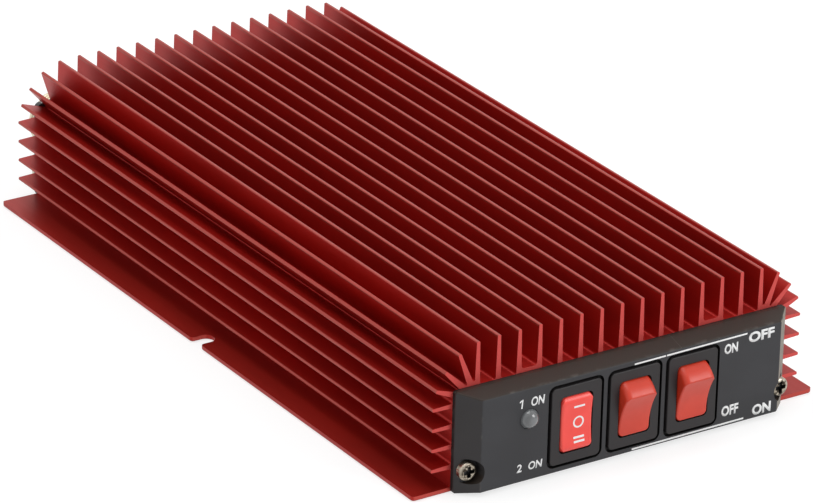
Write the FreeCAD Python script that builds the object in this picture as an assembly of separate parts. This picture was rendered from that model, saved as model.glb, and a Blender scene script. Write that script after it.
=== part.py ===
"""HF linear amplifier of the 100 watt class, in millimetres.

+Z is up, the front panel faces -Y and the sockets face +Y.
The origin is the centre of the base plate's underside, on which the amplifier stands.
"""
import FreeCAD
import Part
import math
import os
from FreeCAD import Vector

os.makedirs("parts", exist_ok=True)

# ---- Driving dimensions -----------------------------------------------------------------------

# Case: a finned aluminium extrusion that is open below
case_length = 194.0
wall_width = 94.0            # over the outer faces of the two side walls
deck_top = 27.1              # floor of the two raised fin channels, above the table
middle_channels = 4          # channels on each side of the centre line that are deeper
middle_drop = 1.8            # their floors, below the raised ones
outer_drop = 1.1             # floors between a raised channel and the corner
deck_thickness = 2.5         # under the middle channels
wall_thickness = 2.5

# Vertical fins on the deck
fin_pitch = 5.75
fin_height = 10.2
end_fin_drop = 0.35          # how much lower the last upright fin is
fin_tip = 0.88
fin_root = 1.42
fin_fillet = 0.8
fin_edge = 0.28              # rounding of a tip's two edges

# Three fins that fan round each upper corner
corner_inset = 6.4           # centre of the fan, from the wall's outer face
corner_drop = 4.6            # and from the channel floors
corner_radius = 4.7          # roots of the fan
corner_fins = ((69.0, 13.2), (45.3, 12.0), (21.7, 11.8))   # degrees above level, tip radius
fan_tip = 0.82
fan_root = 1.65

# Level fins on the side walls
side_fin_reach = 5.45
side_fin_pitch = 5.2
side_fin_lowest = 6.6
side_fin_tip = 0.8
side_fin_root = 1.15

# Screws: M3 throughout
screw_radius = 1.45
tapped_gap = 0.1             # round a screw in its thread
clearance_gap = 0.25         # round a screw in a plain hole
panel_head_radius = 2.4
head_radius = 2.75
head_height = 1.8
head_round = 0.8             # rounding of a pan head's rim
head_sink = 0.1              # sunk heads, above the base's underside
recess_width = 1.0           # cross recess in a head
recess_depth = 1.1
recess_margin = 0.95         # from a recess's arm to the head's edge
sunk_recess_depth = 0.8

# Screw channels along the extrusion
channel_inset = 2.4          # lower channel, from the wall's outer face
channel_height = 6.3
channel_wall = 1.45
upper_channel_inset = 1.3    # upper channel, from the inner faces of wall and deck
upper_channel_wall = 0.9

# Base plate with its mounting flanges
base_width = 114.8
base_thickness = 1.3
base_corner = 1.0
base_edge = 0.6              # rounding of its lower edges
notch_width = 4.3
notch_depth = 5.0
notch_lip = 1.0              # rounding of a notch's mouth
base_screw_inset = 17.0      # end screws, from the ends of the case
base_screw_length = 5.6

# Front panel: a moulding with sloping edges
panel_depth = 5.8
panel_lip = 1.0              # panel's top edge, below the channel floors
panel_lift = 0.15            # panel's lower edge, above the table
panel_rim = 1.3
panel_corner = 0.6           # rounding of the rim's corners
face_corner = 0.6            # and of the face's
side_bevel = 4.5
top_bevel = 1.2
bottom_bevel = 0.95
panel_edge_radius = 0.5
panel_face_wall = 3.0
panel_side_wall = 7.0
panel_roof = 2.1
panel_floor = 2.25
panel_screw_seat = 2.3       # floor of the screw recess, ahead of the case
panel_recess_radius = 3.2
panel_screw_length = 10.0
peg_length = 5.0

# Rocker switches
switch_pitch = 16.6
switch_shift = 0.3           # middle switch, from the centre line
bezel_width = 14.05
bezel_height = 19.8
bezel_thickness = 1.6
bezel_proud = 0.3
bezel_corner = 1.2
bezel_edge = 0.25
pocket_gap = 0.75
switch_width = 12.9
switch_height = 18.8
switch_depth = 14.0
switch_back_wall = 1.4
cutout_gap = 0.1
snap_reach = 0.6
snap_length = 2.5
rocker_radius = 7.65
rocker_width = 8.7
rocker_gap = 0.3             # round the ends of a rocker
rocker_side_gap = 0.25
well_corner = 1.2            # rounding of the well's corners
rocker_corner = 1.5          # rounding of its four corners, seen from the front
rocker_edge = 0.4
pivot_depth = 3.1            # rocker's pivot, behind the bezel's face
trunnion_radius = 1.1
trunnion_length = 1.2
running_gap = 0.05
ridge_angle = 48.5           # ridges of a two-way rocker, either side of its middle
rocker_hollow = 0.95         # how far its face is scooped out
two_way_tilt = 16.0          # half of its travel, in degrees
three_way_proud = 0.65       # ridges of the three-way rocker, ahead of the bezel
three_way_round = 1.6        # rounding of those ridges
three_way_hollow = 0.4
three_way_edge = 0.6
three_way_tilt = 10.0
post_radius = 2.3
post_length = 4.5
plunger_radius = 1.25
plunger_gap = 0.1
plunger_reach = 8.0          # tip behind the pivot
plunger_socket = 1.5         # depth of its bore ahead of the pivot
spring_length = 3.8
spring_wire = 0.5
spring_turn = 0.6
blade_ratio = 0.5            # blade's turn for each degree of the rocker's
blade_half_length = 5.2
blade_width = 3.2
blade_thickness = 0.5
blade_gap = 0.3              # plunger's tip to the blade
knife_gap = 0.05
contact_gap = 0.12           # stud to the closed blade
stud_radius = 1.1
terminal_width = 4.0
terminal_thickness = 0.8
pin_width = 1.2
slot_gap = 0.1

# Status lamp
lamp_x = -29.3
lamp_height = 17.0
lamp_radius = 2.5
lamp_rim_radius = 2.9
lamp_rim = 1.0
lamp_length = 9.0
lamp_proud = 1.9
lamp_gap = 0.05
lamp_lead = 0.5
lamp_lead_spacing = 2.54
lamp_boss_wall = 1.5

# Front board, which carries the switches and the lamp
front_board_gap = 0.3
board_thickness = 1.6
front_board_margin = 3.5     # beyond the lamp and the last switch
front_board_clearance = 1.5  # to the case's inner faces
pin_tail = 1.0

# Header between the two boards
header_pins_count = 8
header_pitch = 2.54
header_body = 2.5
header_pin = 0.64
header_height = 15.5
header_gap = 1.1             # header's body to the main board's front edge

# Main board, hung under the deck
board_gap = 3.5              # ceiling to board
board_side_gap = 2.75        # from the case's upper screw channels
board_rear_inset = 15.5
spacer_inset_x = 4.0
spacer_inset_y = 7.5
spacer_across = 5.5
deck_thread_depth = 2.0
part_gap = 0.4
wire_radius = 0.4
wire_root = 1.0              # how far a wire starts inside its part
drill_gap = 0.15
board_corner = 1.0

# Power transistors on the deck
transistor_pitch = 16.0
transistor_count = 4
transistor_y = -21.0         # free end of the tabs
transistor_width = 10.2
tab_length = 15.6
tab_thickness = 1.3
tab_hole_y = 2.8
case_start = 6.4             # moulded body along the tab
case_thickness = 4.5
lead_height = 2.6
lead_width = 0.8
lead_thickness = 0.5
lead_run = 3.0
pad_thickness = 0.3
pad_margin = 0.6
window_margin = 0.7

# Output transformer: two ferrite sleeves on brass tubes
sleeve_radius = 5.7
sleeve_bore = 3.7
sleeve_length = 30.0
sleeve_spacing = 12.0
tube_radius = 3.4
tube_wall = 0.5
end_plate = 1.0
output_transformer_y = 22.0
output_wire_radius = 1.0
output_wire_spacing = 2.4
output_side_gap = 1.6        # to the supply choke and the supply capacitor

# Input transformer: a two-hole ferrite block
block_size = (14.0, 8.0, 7.5)
block_hole = 1.9
block_hole_spacing = 7.0
block_wire_radius = 0.6
block_wire_spacing = 1.5
input_transformer_x = 10.0
input_transformer_y = 42.0   # behind the board's front edge

# Relays, one towards each end of the board
relay_size = (19.0, 12.6, 11.0)
relay_edge = 0.6
relay_pin_inset = 1.9
relay_coil_pin = 2.0         # the pins between its ends, from its middle
relay_x = 20.0
front_relay_y = 34.0         # behind the board's front edge
rear_relay_y = 14.0          # ahead of the board's rear edge

# Capacitors, coils and resistors
capacitor_radius = 5.0
capacitor_height = 11.5
capacitor_groove = 2.0       # below the board
bias_capacitor_x = 22.0
bias_capacitor_y = 14.0      # behind the board's front edge
disc_radius = 3.8
disc_thickness = 2.6
disc_rim = 0.85
disc_pin_spacing = 5.0
disc_spacing = 14.0
disc_row_y = 34.0            # ahead of the board's rear edge
disc_count = 3
coil_radius = 4.5
coil_wire = 1.1
coil_turns = 9
coil_spacing = 14.0
coil_row_x = -7.0            # middle of the row of coils
coil_row_y = 26.0            # ahead of the board's rear edge
coil_count = 3
choke_radius = 5.0
choke_wire = 1.0
choke_turns = 16
choke_core_radius = 3.6
choke_core_extra = 2.0
resistor_radius = 2.0
resistor_length = 11.0
resistor_round = 0.65
resistor_lead = 2.0
resistor_spacing = 20.0
resistor_row_x = 12.0
resistor_row_y = 26.0        # behind the board's front edge
resistor_count = 2

# Bias trimmer
trimmer_size = 9.5
trimmer_height = 4.8
trimmer_radius = 3.1
trimmer_depth = 3.6
trimmer_slot = 0.8
trimmer_slot_depth = 1.8
trimmer_pin_inset = 0.95
trimmer_x = -25.0
trimmer_y = 12.0             # behind the board's front edge

# Rear panel
rear_thickness = 1.5
rear_corner = 1.5
rear_screw_length = 8.0

# Coaxial sockets: 5/8 inch barrels
socket_x = 32.7
socket_height = 13.6
barrel_radius = 7.94
barrel_length = 15.5         # beyond the rear panel
barrel_relief = 0.3          # how much slimmer it is inside the panel and its nut
barrel_bore = 6.35
barrel_bore_depth = 9.0
barrel_neck_bore = 5.2
barrel_notches = 4
notch_cut = 2.0
notch_cut_depth = 1.2
inner_flange_radius = 9.0
inner_flange = 2.0
panel_hole_gap = 0.2
nut_across = 19.0
nut_thickness = 3.0
insulator_nose_radius = 4.2
insulator_shoulder = 1.2
insulator_tail = 1.5
mouth_depth = 5.0            # contact's end, inside the barrel's end
contact_radius = 2.9
contact_bore = 2.0
contact_bore_depth = 8.0
contact_collar = 1.2
contact_collar_radius = 3.6
contact_tail = 4.0
contact_tail_radius = 1.6
link_radius = 0.8
link_run = 9.0

# Gland for the supply lead
gland_bore = 3.2
gland_radius = 6.0
gland_flange_radius = 8.2
gland_flange = 2.0
gland_lock_radius = 7.2
gland_lock = 2.0
gland_nose_radius = 5.0
gland_nose = 5.5

# ---- Derived places ---------------------------------------------------------------------------

def row_places(count, spacing, middle=0.0):
    """Places of a row of equal parts about its middle."""
    return [middle + (number - (count - 1) / 2) * spacing for number in range(count)]


front = -case_length / 2
rear = case_length / 2
wall_x = wall_width / 2
inner_x = wall_x - wall_thickness
ceiling = deck_top - middle_drop - deck_thickness
corner_x = wall_x - corner_inset
corner_z = deck_top - corner_drop
tapped_radius = screw_radius + tapped_gap
plain_radius = screw_radius + clearance_gap
channel_x = wall_x - channel_inset
upper_channel_x = inner_x - upper_channel_inset
upper_channel_z = ceiling - upper_channel_inset
rib_x = channel_x - tapped_radius - channel_wall
rib_top = channel_height + tapped_radius + channel_wall
upper_block_x = upper_channel_x - tapped_radius - upper_channel_wall
upper_block_z = upper_channel_z - tapped_radius - upper_channel_wall

panel_face = front - panel_depth
panel_top = deck_top - panel_lip
face_half_width = wall_x - side_bevel
face_top = panel_top - top_bevel
face_bottom = panel_lift + bottom_bevel
panel_wall_back = panel_face + panel_face_wall

bezel_front = panel_face - bezel_proud
bezel_back = bezel_front + bezel_thickness
switch_z = (face_top + face_bottom) / 2
pivot_y = bezel_front + pivot_depth
switch_back = bezel_back + switch_depth
switch_inside_back = switch_back - switch_back_wall
blade_pivot_y = pivot_y + plunger_reach + blade_gap + blade_thickness
switches = (
    ("preamp", switch_shift - switch_pitch, three_way_tilt, 0.0),
    ("mode", switch_shift, two_way_tilt, two_way_tilt),
    ("power", switch_shift + switch_pitch, two_way_tilt, two_way_tilt),
)                            # name, centre, half travel and tilt at rest, in degrees

lamp_tip = panel_face - lamp_proud
lamp_back = lamp_tip + lamp_length
front_board_front = switch_back + front_board_gap
front_board_back = front_board_front + board_thickness
board_width = 2 * (upper_block_x - board_side_gap)
board_top = ceiling - board_gap
board_bottom = board_top - board_thickness
board_front = front_board_back + header_body + header_gap
board_rear = rear - board_rear_inset
spacer_spots = [
    (side * (board_width / 2 - spacer_inset_x), y)
    for side in (-1, 1)
    for y in (board_front + spacer_inset_y, 0.0, board_rear - spacer_inset_y)
]
transistor_spots = row_places(transistor_count, transistor_pitch)
header_spots = row_places(header_pins_count, header_pitch, switch_shift)
transistor_top = ceiling - pad_thickness
output_plate_x = sleeve_length / 2 + part_gap + end_plate
output_reach = output_plate_x + sleeve_spacing / 2 + 2 * output_wire_radius
rear_outside = rear + rear_thickness
barrel_end = rear_outside + barrel_length
barrel_neck_radius = barrel_radius - barrel_relief
socket_step = barrel_end - barrel_bore_depth
base_screw_spots = (front + base_screw_inset, 0.0, rear - base_screw_inset)

drilled = []                 # x and y of each wire that passes through the main board
same_place = 1e-6            # two places closer than this are one
corner_share = 0.45          # most of an edge that a rounded corner may take


# ---- Helpers ----------------------------------------------------------------------------------

def block(x, y, z):
    """A block between the low and high limits along each axis."""
    return Part.makeBox(x[1] - x[0], y[1] - y[0], z[1] - z[0], Vector(x[0], y[0], z[0]))


def rod(radius, start, axis, length):
    """A cylinder from a start point along an axis."""
    return Part.makeCylinder(radius, length, Vector(*start), Vector(*axis))


def cone(radius, end_radius, start, axis, length):
    """A cone from radius at the start to end_radius at its far end."""
    return Part.makeCone(radius, end_radius, length, Vector(*start), Vector(*axis))


def joined(shapes):
    """One solid from shapes that overlap or share faces."""
    return shapes[0].multiFuse(shapes[1:]).removeSplitter()


def rounded_face(corners, place):
    """A flat face whose corners (u, v, radius) are rounded by tangent arcs; place puts (u, v) in space."""
    stretches = []
    for before, corner, after in zip(corners[-1:] + corners[:-1], corners, corners[1:] + corners[:1]):
        point = Vector(corner[0], corner[1], 0)
        back = Vector(before[0], before[1], 0) - point
        ahead = Vector(after[0], after[1], 0) - point
        half_angle = back.getAngle(ahead) / 2
        reach = min(corner[2] / math.tan(half_angle), corner_share * back.Length,
                    corner_share * ahead.Length)
        back.normalize()
        ahead.normalize()
        inwards = (back + ahead).normalize() if reach > same_place else Vector()
        radius = reach * math.tan(half_angle)
        middle = point + inwards * (radius / math.sin(half_angle) - radius)
        stretches.append((point + back * reach, middle, point + ahead * reach, reach > same_place))
    edges = []
    for stretch, following in zip(stretches, stretches[1:] + stretches[:1]):
        start, middle, end = [place(item.x, item.y) for item in stretch[:3]]
        if stretch[3]:
            edges.append(Part.Arc(start, middle, end).toShape())
        edges.append(Part.LineSegment(end, place(following[0].x, following[0].y)).toShape())
    return Part.Face(Part.Wire(edges))


def rounded_slab(width, height, radius, centre_x, centre_z, y):
    """An upright plate between two depths, with rounded corners."""
    half_width = width / 2
    half_height = height / 2
    corners = [(-half_width, -half_height, radius), (half_width, -half_height, radius),
               (half_width, half_height, radius), (-half_width, half_height, radius)]
    face = rounded_face(corners, lambda u, v: Vector(centre_x + u, y[0], centre_z + v))
    return face.extrude(Vector(0, y[1] - y[0], 0))


def cross_recess(at, axis, depth, reach):
    """The cross-shaped tool recess of a screw head, cut inwards along the axis."""
    inwards = Vector(*axis)
    side = Vector(1, 0, 0)
    other = inwards.cross(side)
    arms = []
    for along, across in ((side, other), (other, side)):
        corner = Vector(*at) - along * reach - across * (recess_width / 2)
        points = [corner, corner + along * (2 * reach), corner + along * (2 * reach) + across * recess_width,
                  corner + across * recess_width, corner]
        arms.append(Part.Face(Part.makePolygon(points)).extrude(inwards * depth))
    return arms[0].fuse(arms[1])


def pan_screw(seat, axis, length, radius):
    """A pan-head screw whose head sits on seat and whose shank runs along the axis."""
    point = Vector(*seat)
    way = Vector(*axis)
    top = point - way * head_height
    head = Part.makeCylinder(radius, head_height, top, way)
    rim = [edge for edge in head.Edges if (edge.CenterOfMass - top).Length < same_place and edge.Closed]
    head = head.makeFillet(head_round, rim)
    head = head.cut(cross_recess(tuple(top), axis, recess_depth, radius - recess_margin))
    return head.fuse(Part.makeCylinder(screw_radius, length, point, way)).removeSplitter()


def hexagon(across, start, axis, length, bore):
    """A hexagonal bush or nut with a bore, its flats the given distance apart."""
    centre = Vector(*start)
    way = Vector(*axis)
    side = Vector(1, 0, 0)
    other = way.cross(side)
    radius = across / math.sqrt(3)
    angles = [math.radians(60 * number + 30) for number in range(7)]
    points = [centre + side * (radius * math.cos(a)) + other * (radius * math.sin(a)) for a in angles]
    prism = Part.Face(Part.makePolygon(points)).extrude(way * length)
    return prism.cut(Part.makeCylinder(bore, length, centre, way))


def wound_sleeve(outer_radius, wire, turns, core_radius, centre, axis):
    """A close-wound coil: a sleeve with one rounded rib for each turn, about an axis along X or Y."""
    half_length = turns * wire / 2
    edges = []
    for turn in range(turns):
        start = -half_length + turn * wire
        low = Vector(start, outer_radius - wire / 2, 0)
        crest = Vector(start + wire / 2, outer_radius, 0)
        high = Vector(start + wire, outer_radius - wire / 2, 0)
        edges.append(Part.Arc(low, crest, high).toShape())
    corners = [Vector(half_length, outer_radius - wire / 2, 0), Vector(half_length, core_radius, 0),
               Vector(-half_length, core_radius, 0), Vector(-half_length, outer_radius - wire / 2, 0)]
    edges += [Part.LineSegment(a, b).toShape() for a, b in zip(corners[:-1], corners[1:])]
    sleeve = Part.Face(Part.Wire(edges)).revolve(Vector(), Vector(1, 0, 0), 360)
    sleeve = solid_of(sleeve)
    if axis == "y":
        sleeve.rotate(Vector(), Vector(0, 0, 1), 90)
    sleeve.translate(Vector(*centre))
    return sleeve


def solid_of(shape):
    """The one solid that a shape holds."""
    return shape if shape.ShapeType == "Solid" else shape.Solids[0]


def board_wire(x, y, start_z):
    """A wire from start_z up through the main board, which is drilled for it."""
    drilled.append((x, y))
    return rod(wire_radius, (x, y, start_z), (0, 0, 1), board_top + pin_tail - start_z)


def tilted(shape, tilt, y, z):
    """A switch part turned about the X axis through (y, z)."""
    turned = shape.copy()
    turned.rotate(Vector(0, y, z), Vector(1, 0, 0), tilt)
    return turned


def save(name, shapes):
    """Write one node: a single solid, or a group of separate ones."""
    solids = [solid for shape in shapes for solid in shape.Solids]
    node = solids[0] if len(solids) == 1 else Part.makeCompound(solids)
    node.exportStep(f"parts/{name}.step")
    state = "valid" if node.isValid() else "INVALID"
    print(f"{name}: {len(solids)} solid(s), {node.Volume:.1f} mm3, {state}")


# ---- Case -------------------------------------------------------------------------------------

def fan_fin(angle, tip_radius):
    """Outline points of one fin of the corner fan: root, tip, tip, root, from the upper side down."""
    way = Vector(math.cos(math.radians(angle)), math.sin(math.radians(angle)), 0)
    across = Vector(-way.y, way.x, 0)
    centre = Vector(corner_x, corner_z, 0)
    root = centre + way * corner_radius
    tip = centre + way * tip_radius
    places = (root + across * (fan_root / 2), tip + across * (fan_tip / 2),
              tip - across * (fan_tip / 2), root - across * (fan_root / 2))
    radii = (fin_fillet / 2, fin_edge, fin_edge, fin_fillet / 2)
    return [(place.x, place.y, radius) for place, radius in zip(places, radii)]


def fan_foot():
    """Height at which the lowest fin of the fan meets the wall: the fin tapers from root to tip."""
    angle, tip_radius = math.radians(corner_fins[-1][0]), corner_fins[-1][1]
    at_wall = corner_inset / math.cos(angle)
    taper = (fan_root - fan_tip) / (tip_radius - corner_radius)
    width = fan_tip + taper * (tip_radius - at_wall)
    return corner_z + corner_inset * math.tan(angle) - width / 2 / math.cos(angle)


def floor_height(channel):
    """Height of an upper channel's floor, with the channels numbered from the middle fin outwards."""
    if channel < middle_channels:
        return deck_top - middle_drop
    return deck_top if channel == middle_channels else deck_top - outer_drop


def case_half_outline():
    """Outline points of the extrusion's right half, from the middle fin's tip round to the ceiling."""
    points = []
    fins_each_side = int(corner_x // fin_pitch)
    for number in range(fins_each_side + 1):
        x = number * fin_pitch
        last = number == fins_each_side
        tip_z = deck_top + fin_height - (end_fin_drop if last else 0)
        outer_floor = deck_top if last else floor_height(number)
        upright = [(x - fin_root / 2, floor_height(number - 1), fin_fillet),
                   (x - fin_tip / 2, tip_z, fin_edge), (x + fin_tip / 2, tip_z, fin_edge),
                   (x + fin_root / 2, outer_floor, fin_fillet)]
        points += upright[2:] if number == 0 else upright
    for angle, tip_radius in corner_fins:
        points += fan_fin(angle, tip_radius)
    points[-1] = (wall_x, fan_foot(), fin_fillet / 2)
    side_fins = int((corner_z - side_fin_lowest) // side_fin_pitch) + 1
    for number in reversed(range(side_fins)):
        z = side_fin_lowest + number * side_fin_pitch
        points += [(wall_x, z + side_fin_root / 2, fin_fillet),
                   (wall_x + side_fin_reach, z + side_fin_tip / 2, fin_edge),
                   (wall_x + side_fin_reach, z - side_fin_tip / 2, fin_edge),
                   (wall_x, z - side_fin_root / 2, fin_fillet)]
    points += [(wall_x, base_thickness, 0), (rib_x, base_thickness, 0), (rib_x, rib_top, fin_fillet),
               (inner_x, rib_top + inner_x - rib_x, fin_fillet), (inner_x, upper_block_z, 0),
               (upper_block_x, upper_block_z, fin_fillet), (upper_block_x, ceiling, 0)]
    return points


def heatsink_cover():
    """The finned cover: deck, side walls, fins and the screw channels in its corners."""
    right = case_half_outline()
    left = [(-x, z, radius) for x, z, radius in reversed(right)]
    face = rounded_face(right + left, lambda u, v: Vector(u, front, v))
    cover = face.extrude(Vector(0, case_length, 0))
    holes = []
    for side in (-1, 1):
        holes.append(rod(tapped_radius, (side * channel_x, front, channel_height), (0, 1, 0), case_length))
        holes.append(rod(tapped_radius, (side * upper_channel_x, front, upper_channel_z),
                         (0, 1, 0), case_length))
        for y in base_screw_spots:
            holes.append(rod(tapped_radius, (side * channel_x, y, base_thickness), (0, 0, 1),
                             channel_height - base_thickness))
    tab_holes = [(x, transistor_y + tab_hole_y) for x in transistor_spots]
    for x, y in spacer_spots + tab_holes:
        holes.append(rod(tapped_radius, (x, y, ceiling), (0, 0, 1), deck_thread_depth))
    return solid_of(cover.cut(holes))


def base_plate():
    """The steel base: a plate with a flange along each side and an open notch in each flange."""
    half_width = base_width / 2
    half_notch = notch_width / 2
    right = [(half_width, front, base_corner), (half_width, -half_notch, notch_lip),
             (half_width - notch_depth, -half_notch, half_notch),
             (half_width - notch_depth, half_notch, half_notch),
             (half_width, half_notch, notch_lip), (half_width, rear, base_corner)]
    left = [(-x, -y, radius) for x, y, radius in right]
    plate = rounded_face(right + left, lambda u, v: Vector(u, v, 0)).extrude(Vector(0, 0, base_thickness))
    plate = plate.makeFillet(base_edge, [edge for edge in plate.Edges if edge.BoundBox.ZMax < same_place])
    sinks = [cone(tapped_radius + base_thickness, tapped_radius, (side * channel_x, y, 0), (0, 0, 1),
                  base_thickness) for side in (-1, 1) for y in base_screw_spots]
    return solid_of(plate.cut(sinks))


def base_screws():
    """Countersunk screws from below into the lower ribs; their heads fill the base's thickness."""
    slope = base_thickness + tapped_gap - head_sink
    wide = screw_radius + slope
    shapes = []
    for side in (-1, 1):
        for y in base_screw_spots:
            x = side * channel_x
            head = cone(wide, screw_radius, (x, y, head_sink), (0, 0, 1), slope)
            shank = rod(screw_radius, (x, y, head_sink + slope), (0, 0, 1), base_screw_length - slope)
            recess = cross_recess((x, y, head_sink), (0, 0, 1), sunk_recess_depth, wide - recess_margin)
            shapes.append(head.fuse(shank).removeSplitter().cut(recess))
    return shapes


# ---- Front panel ------------------------------------------------------------------------------

def panel_blank():
    """The moulding's outside: a short rim, then edges that slope in to the face."""
    def outline(half_width, bottom, top, radius, y):
        corners = [(-half_width, bottom, radius), (half_width, bottom, radius),
                   (half_width, top, radius), (-half_width, top, radius)]
        return rounded_face(corners, lambda u, v: Vector(u, y, v))
    rim_front = outline(wall_x, panel_lift, panel_top, panel_corner, front - panel_rim)
    face = outline(face_half_width, face_bottom, face_top, face_corner, panel_face)
    rim = rim_front.extrude(Vector(0, panel_rim, 0))
    slopes = Part.makeLoft([rim_front.OuterWire, face.OuterWire], True, True)
    blank = rim.fuse(slopes).removeSplitter()
    sharp = [edge for edge in blank.Edges
             if max(vertex.Point.y for vertex in edge.Vertexes) < panel_face + same_place]
    return blank.makeFillet(panel_edge_radius, sharp)


def front_panel():
    """The black moulded panel with pockets for the bezels, screw recesses and the lamp's sleeve."""
    panel = solid_of(panel_blank())
    cuts = [block((-wall_x + panel_side_wall, wall_x - panel_side_wall), (panel_wall_back, front),
                  (panel_lift + panel_floor, panel_top - panel_roof))]
    for _, x, _, _ in switches:
        cuts.append(rounded_slab(bezel_width + 2 * pocket_gap, bezel_height + 2 * pocket_gap,
                                 bezel_corner + pocket_gap, x, switch_z,
                                 (panel_face - panel_edge_radius, bezel_back)))
        cuts.append(block((x - switch_width / 2 - cutout_gap, x + switch_width / 2 + cutout_gap),
                          (bezel_back, panel_wall_back),
                          (switch_z - switch_height / 2 - cutout_gap,
                           switch_z + switch_height / 2 + cutout_gap)))
    for side in (-1, 1):
        seat = front - panel_screw_seat
        cuts.append(rod(panel_recess_radius, (side * channel_x, panel_face, channel_height), (0, 1, 0),
                        seat - panel_face))
        cuts.append(rod(plain_radius, (side * channel_x, seat, channel_height), (0, 1, 0),
                        panel_screw_seat))
    panel = panel.cut(cuts)
    lamp_hole = rod(lamp_radius + lamp_gap, (lamp_x, panel_face, lamp_height), (0, 1, 0),
                    lamp_back - lamp_rim - panel_face)
    boss = rod(lamp_radius + lamp_gap + lamp_boss_wall, (lamp_x, panel_wall_back, lamp_height), (0, 1, 0),
               lamp_back - lamp_rim - panel_wall_back)
    pegs = [rod(screw_radius, (side * upper_channel_x, front, upper_channel_z), (0, 1, 0), peg_length)
            for side in (-1, 1)]
    return joined([panel, boss] + pegs).cut(lamp_hole)


def front_panel_screws():
    """The two pan-head screws at the panel's lower corners."""
    return [pan_screw((side * channel_x, front - panel_screw_seat, channel_height), (0, 1, 0),
                      panel_screw_length, panel_head_radius) for side in (-1, 1)]


# ---- Rocker switches --------------------------------------------------------------------------

def switch_body(x):
    """A switch housing: bezel, box with snap-in ramps, rocker well, trunnion holes, terminal slots."""
    bezel = rounded_slab(bezel_width, bezel_height, bezel_corner, x, switch_z, (bezel_front, bezel_back))
    outline = [edge for edge in bezel.Edges
               if all(abs(vertex.Point.y - bezel_front) < same_place for vertex in edge.Vertexes)]
    bezel = bezel.makeFillet(bezel_edge, outline)
    box = block((x - switch_width / 2, x + switch_width / 2), (bezel_back, switch_back),
                (switch_z - switch_height / 2, switch_z + switch_height / 2))
    ramps = []
    for side in (-1, 1):
        foot = switch_z + side * switch_height / 2
        start = panel_wall_back + cutout_gap
        points = [Vector(x - rocker_width / 2, start, foot),
                  Vector(x - rocker_width / 2, start, foot + side * snap_reach),
                  Vector(x - rocker_width / 2, start + snap_length, foot),
                  Vector(x - rocker_width / 2, start, foot)]
        ramps.append(Part.Face(Part.makePolygon(points)).extrude(Vector(rocker_width, 0, 0)))
    body = joined([bezel, box] + ramps)
    half_well = rocker_width / 2 + rocker_side_gap
    well_radius = rocker_radius + rocker_gap
    well = rod(well_radius, (x - half_well, pivot_y, switch_z), (1, 0, 0), 2 * half_well)
    well = well.makeFillet(well_corner, [edge for edge in well.Edges if edge.Closed])
    cuts = [well,
            block((x - half_well, x + half_well), (pivot_y, switch_inside_back),
                  (switch_z - well_radius, switch_z + well_radius)),
            rod(trunnion_radius + running_gap,
                (x - rocker_width / 2 - trunnion_length - rocker_gap, pivot_y, switch_z), (1, 0, 0),
                rocker_width + 2 * (trunnion_length + rocker_gap))]
    for step in (-1, 0, 1):
        z = switch_z + step * blade_half_length
        cuts.append(block((x - terminal_width / 2 - slot_gap, x + terminal_width / 2 + slot_gap),
                          (switch_inside_back, switch_back),
                          (z - terminal_thickness / 2 - slot_gap, z + terminal_thickness / 2 + slot_gap)))
    return solid_of(body.cut(cuts))


def rocker_profile(ridge, rounding, hollow):
    """Side view of a rocker: a half disc whose front is scooped out between two ridges.

    The ridges stand at the given angle on either side of the middle. A ridge's rounding touches both
    the half disc and the hollow, and the hollow's radius follows from that.
    """
    angle = math.radians(ridge)
    ahead = (rocker_radius - rounding) * math.cos(angle)
    up = (rocker_radius - rounding) * math.sin(angle)
    hollow_radius = ((rounding - hollow) ** 2 + up ** 2 - rounding ** 2) / (2 * hollow)
    slant = math.asin(up / (hollow_radius + rounding))

    def on_disc(bearing, side):
        return Vector(0, pivot_y - rocker_radius * math.cos(bearing),
                      switch_z + side * rocker_radius * math.sin(bearing))

    def on_ridge(bearing, side):
        return Vector(0, pivot_y - ahead - rounding * math.cos(bearing),
                      switch_z + side * (up + rounding * math.sin(bearing)))
    middle = Vector(0, pivot_y - ahead - rounding + hollow, switch_z)
    edges = [Part.LineSegment(on_disc(math.pi / 2, -1), on_disc(math.pi / 2, 1)).toShape(),
             Part.Arc(on_ridge(-slant, -1), middle, on_ridge(-slant, 1)).toShape()]
    for side in (-1, 1):
        edges.append(Part.Arc(on_disc(math.pi / 2, side), on_disc((math.pi / 2 + angle) / 2, side),
                              on_disc(angle, side)).toShape())
        if rounding > 0:
            edges.append(Part.Arc(on_ridge(angle, side), on_ridge((angle - slant) / 2, side),
                                  on_ridge(-slant, side)).toShape())
    return Part.Face(Part.Wire(Part.sortEdges(edges)[0]))


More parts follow.
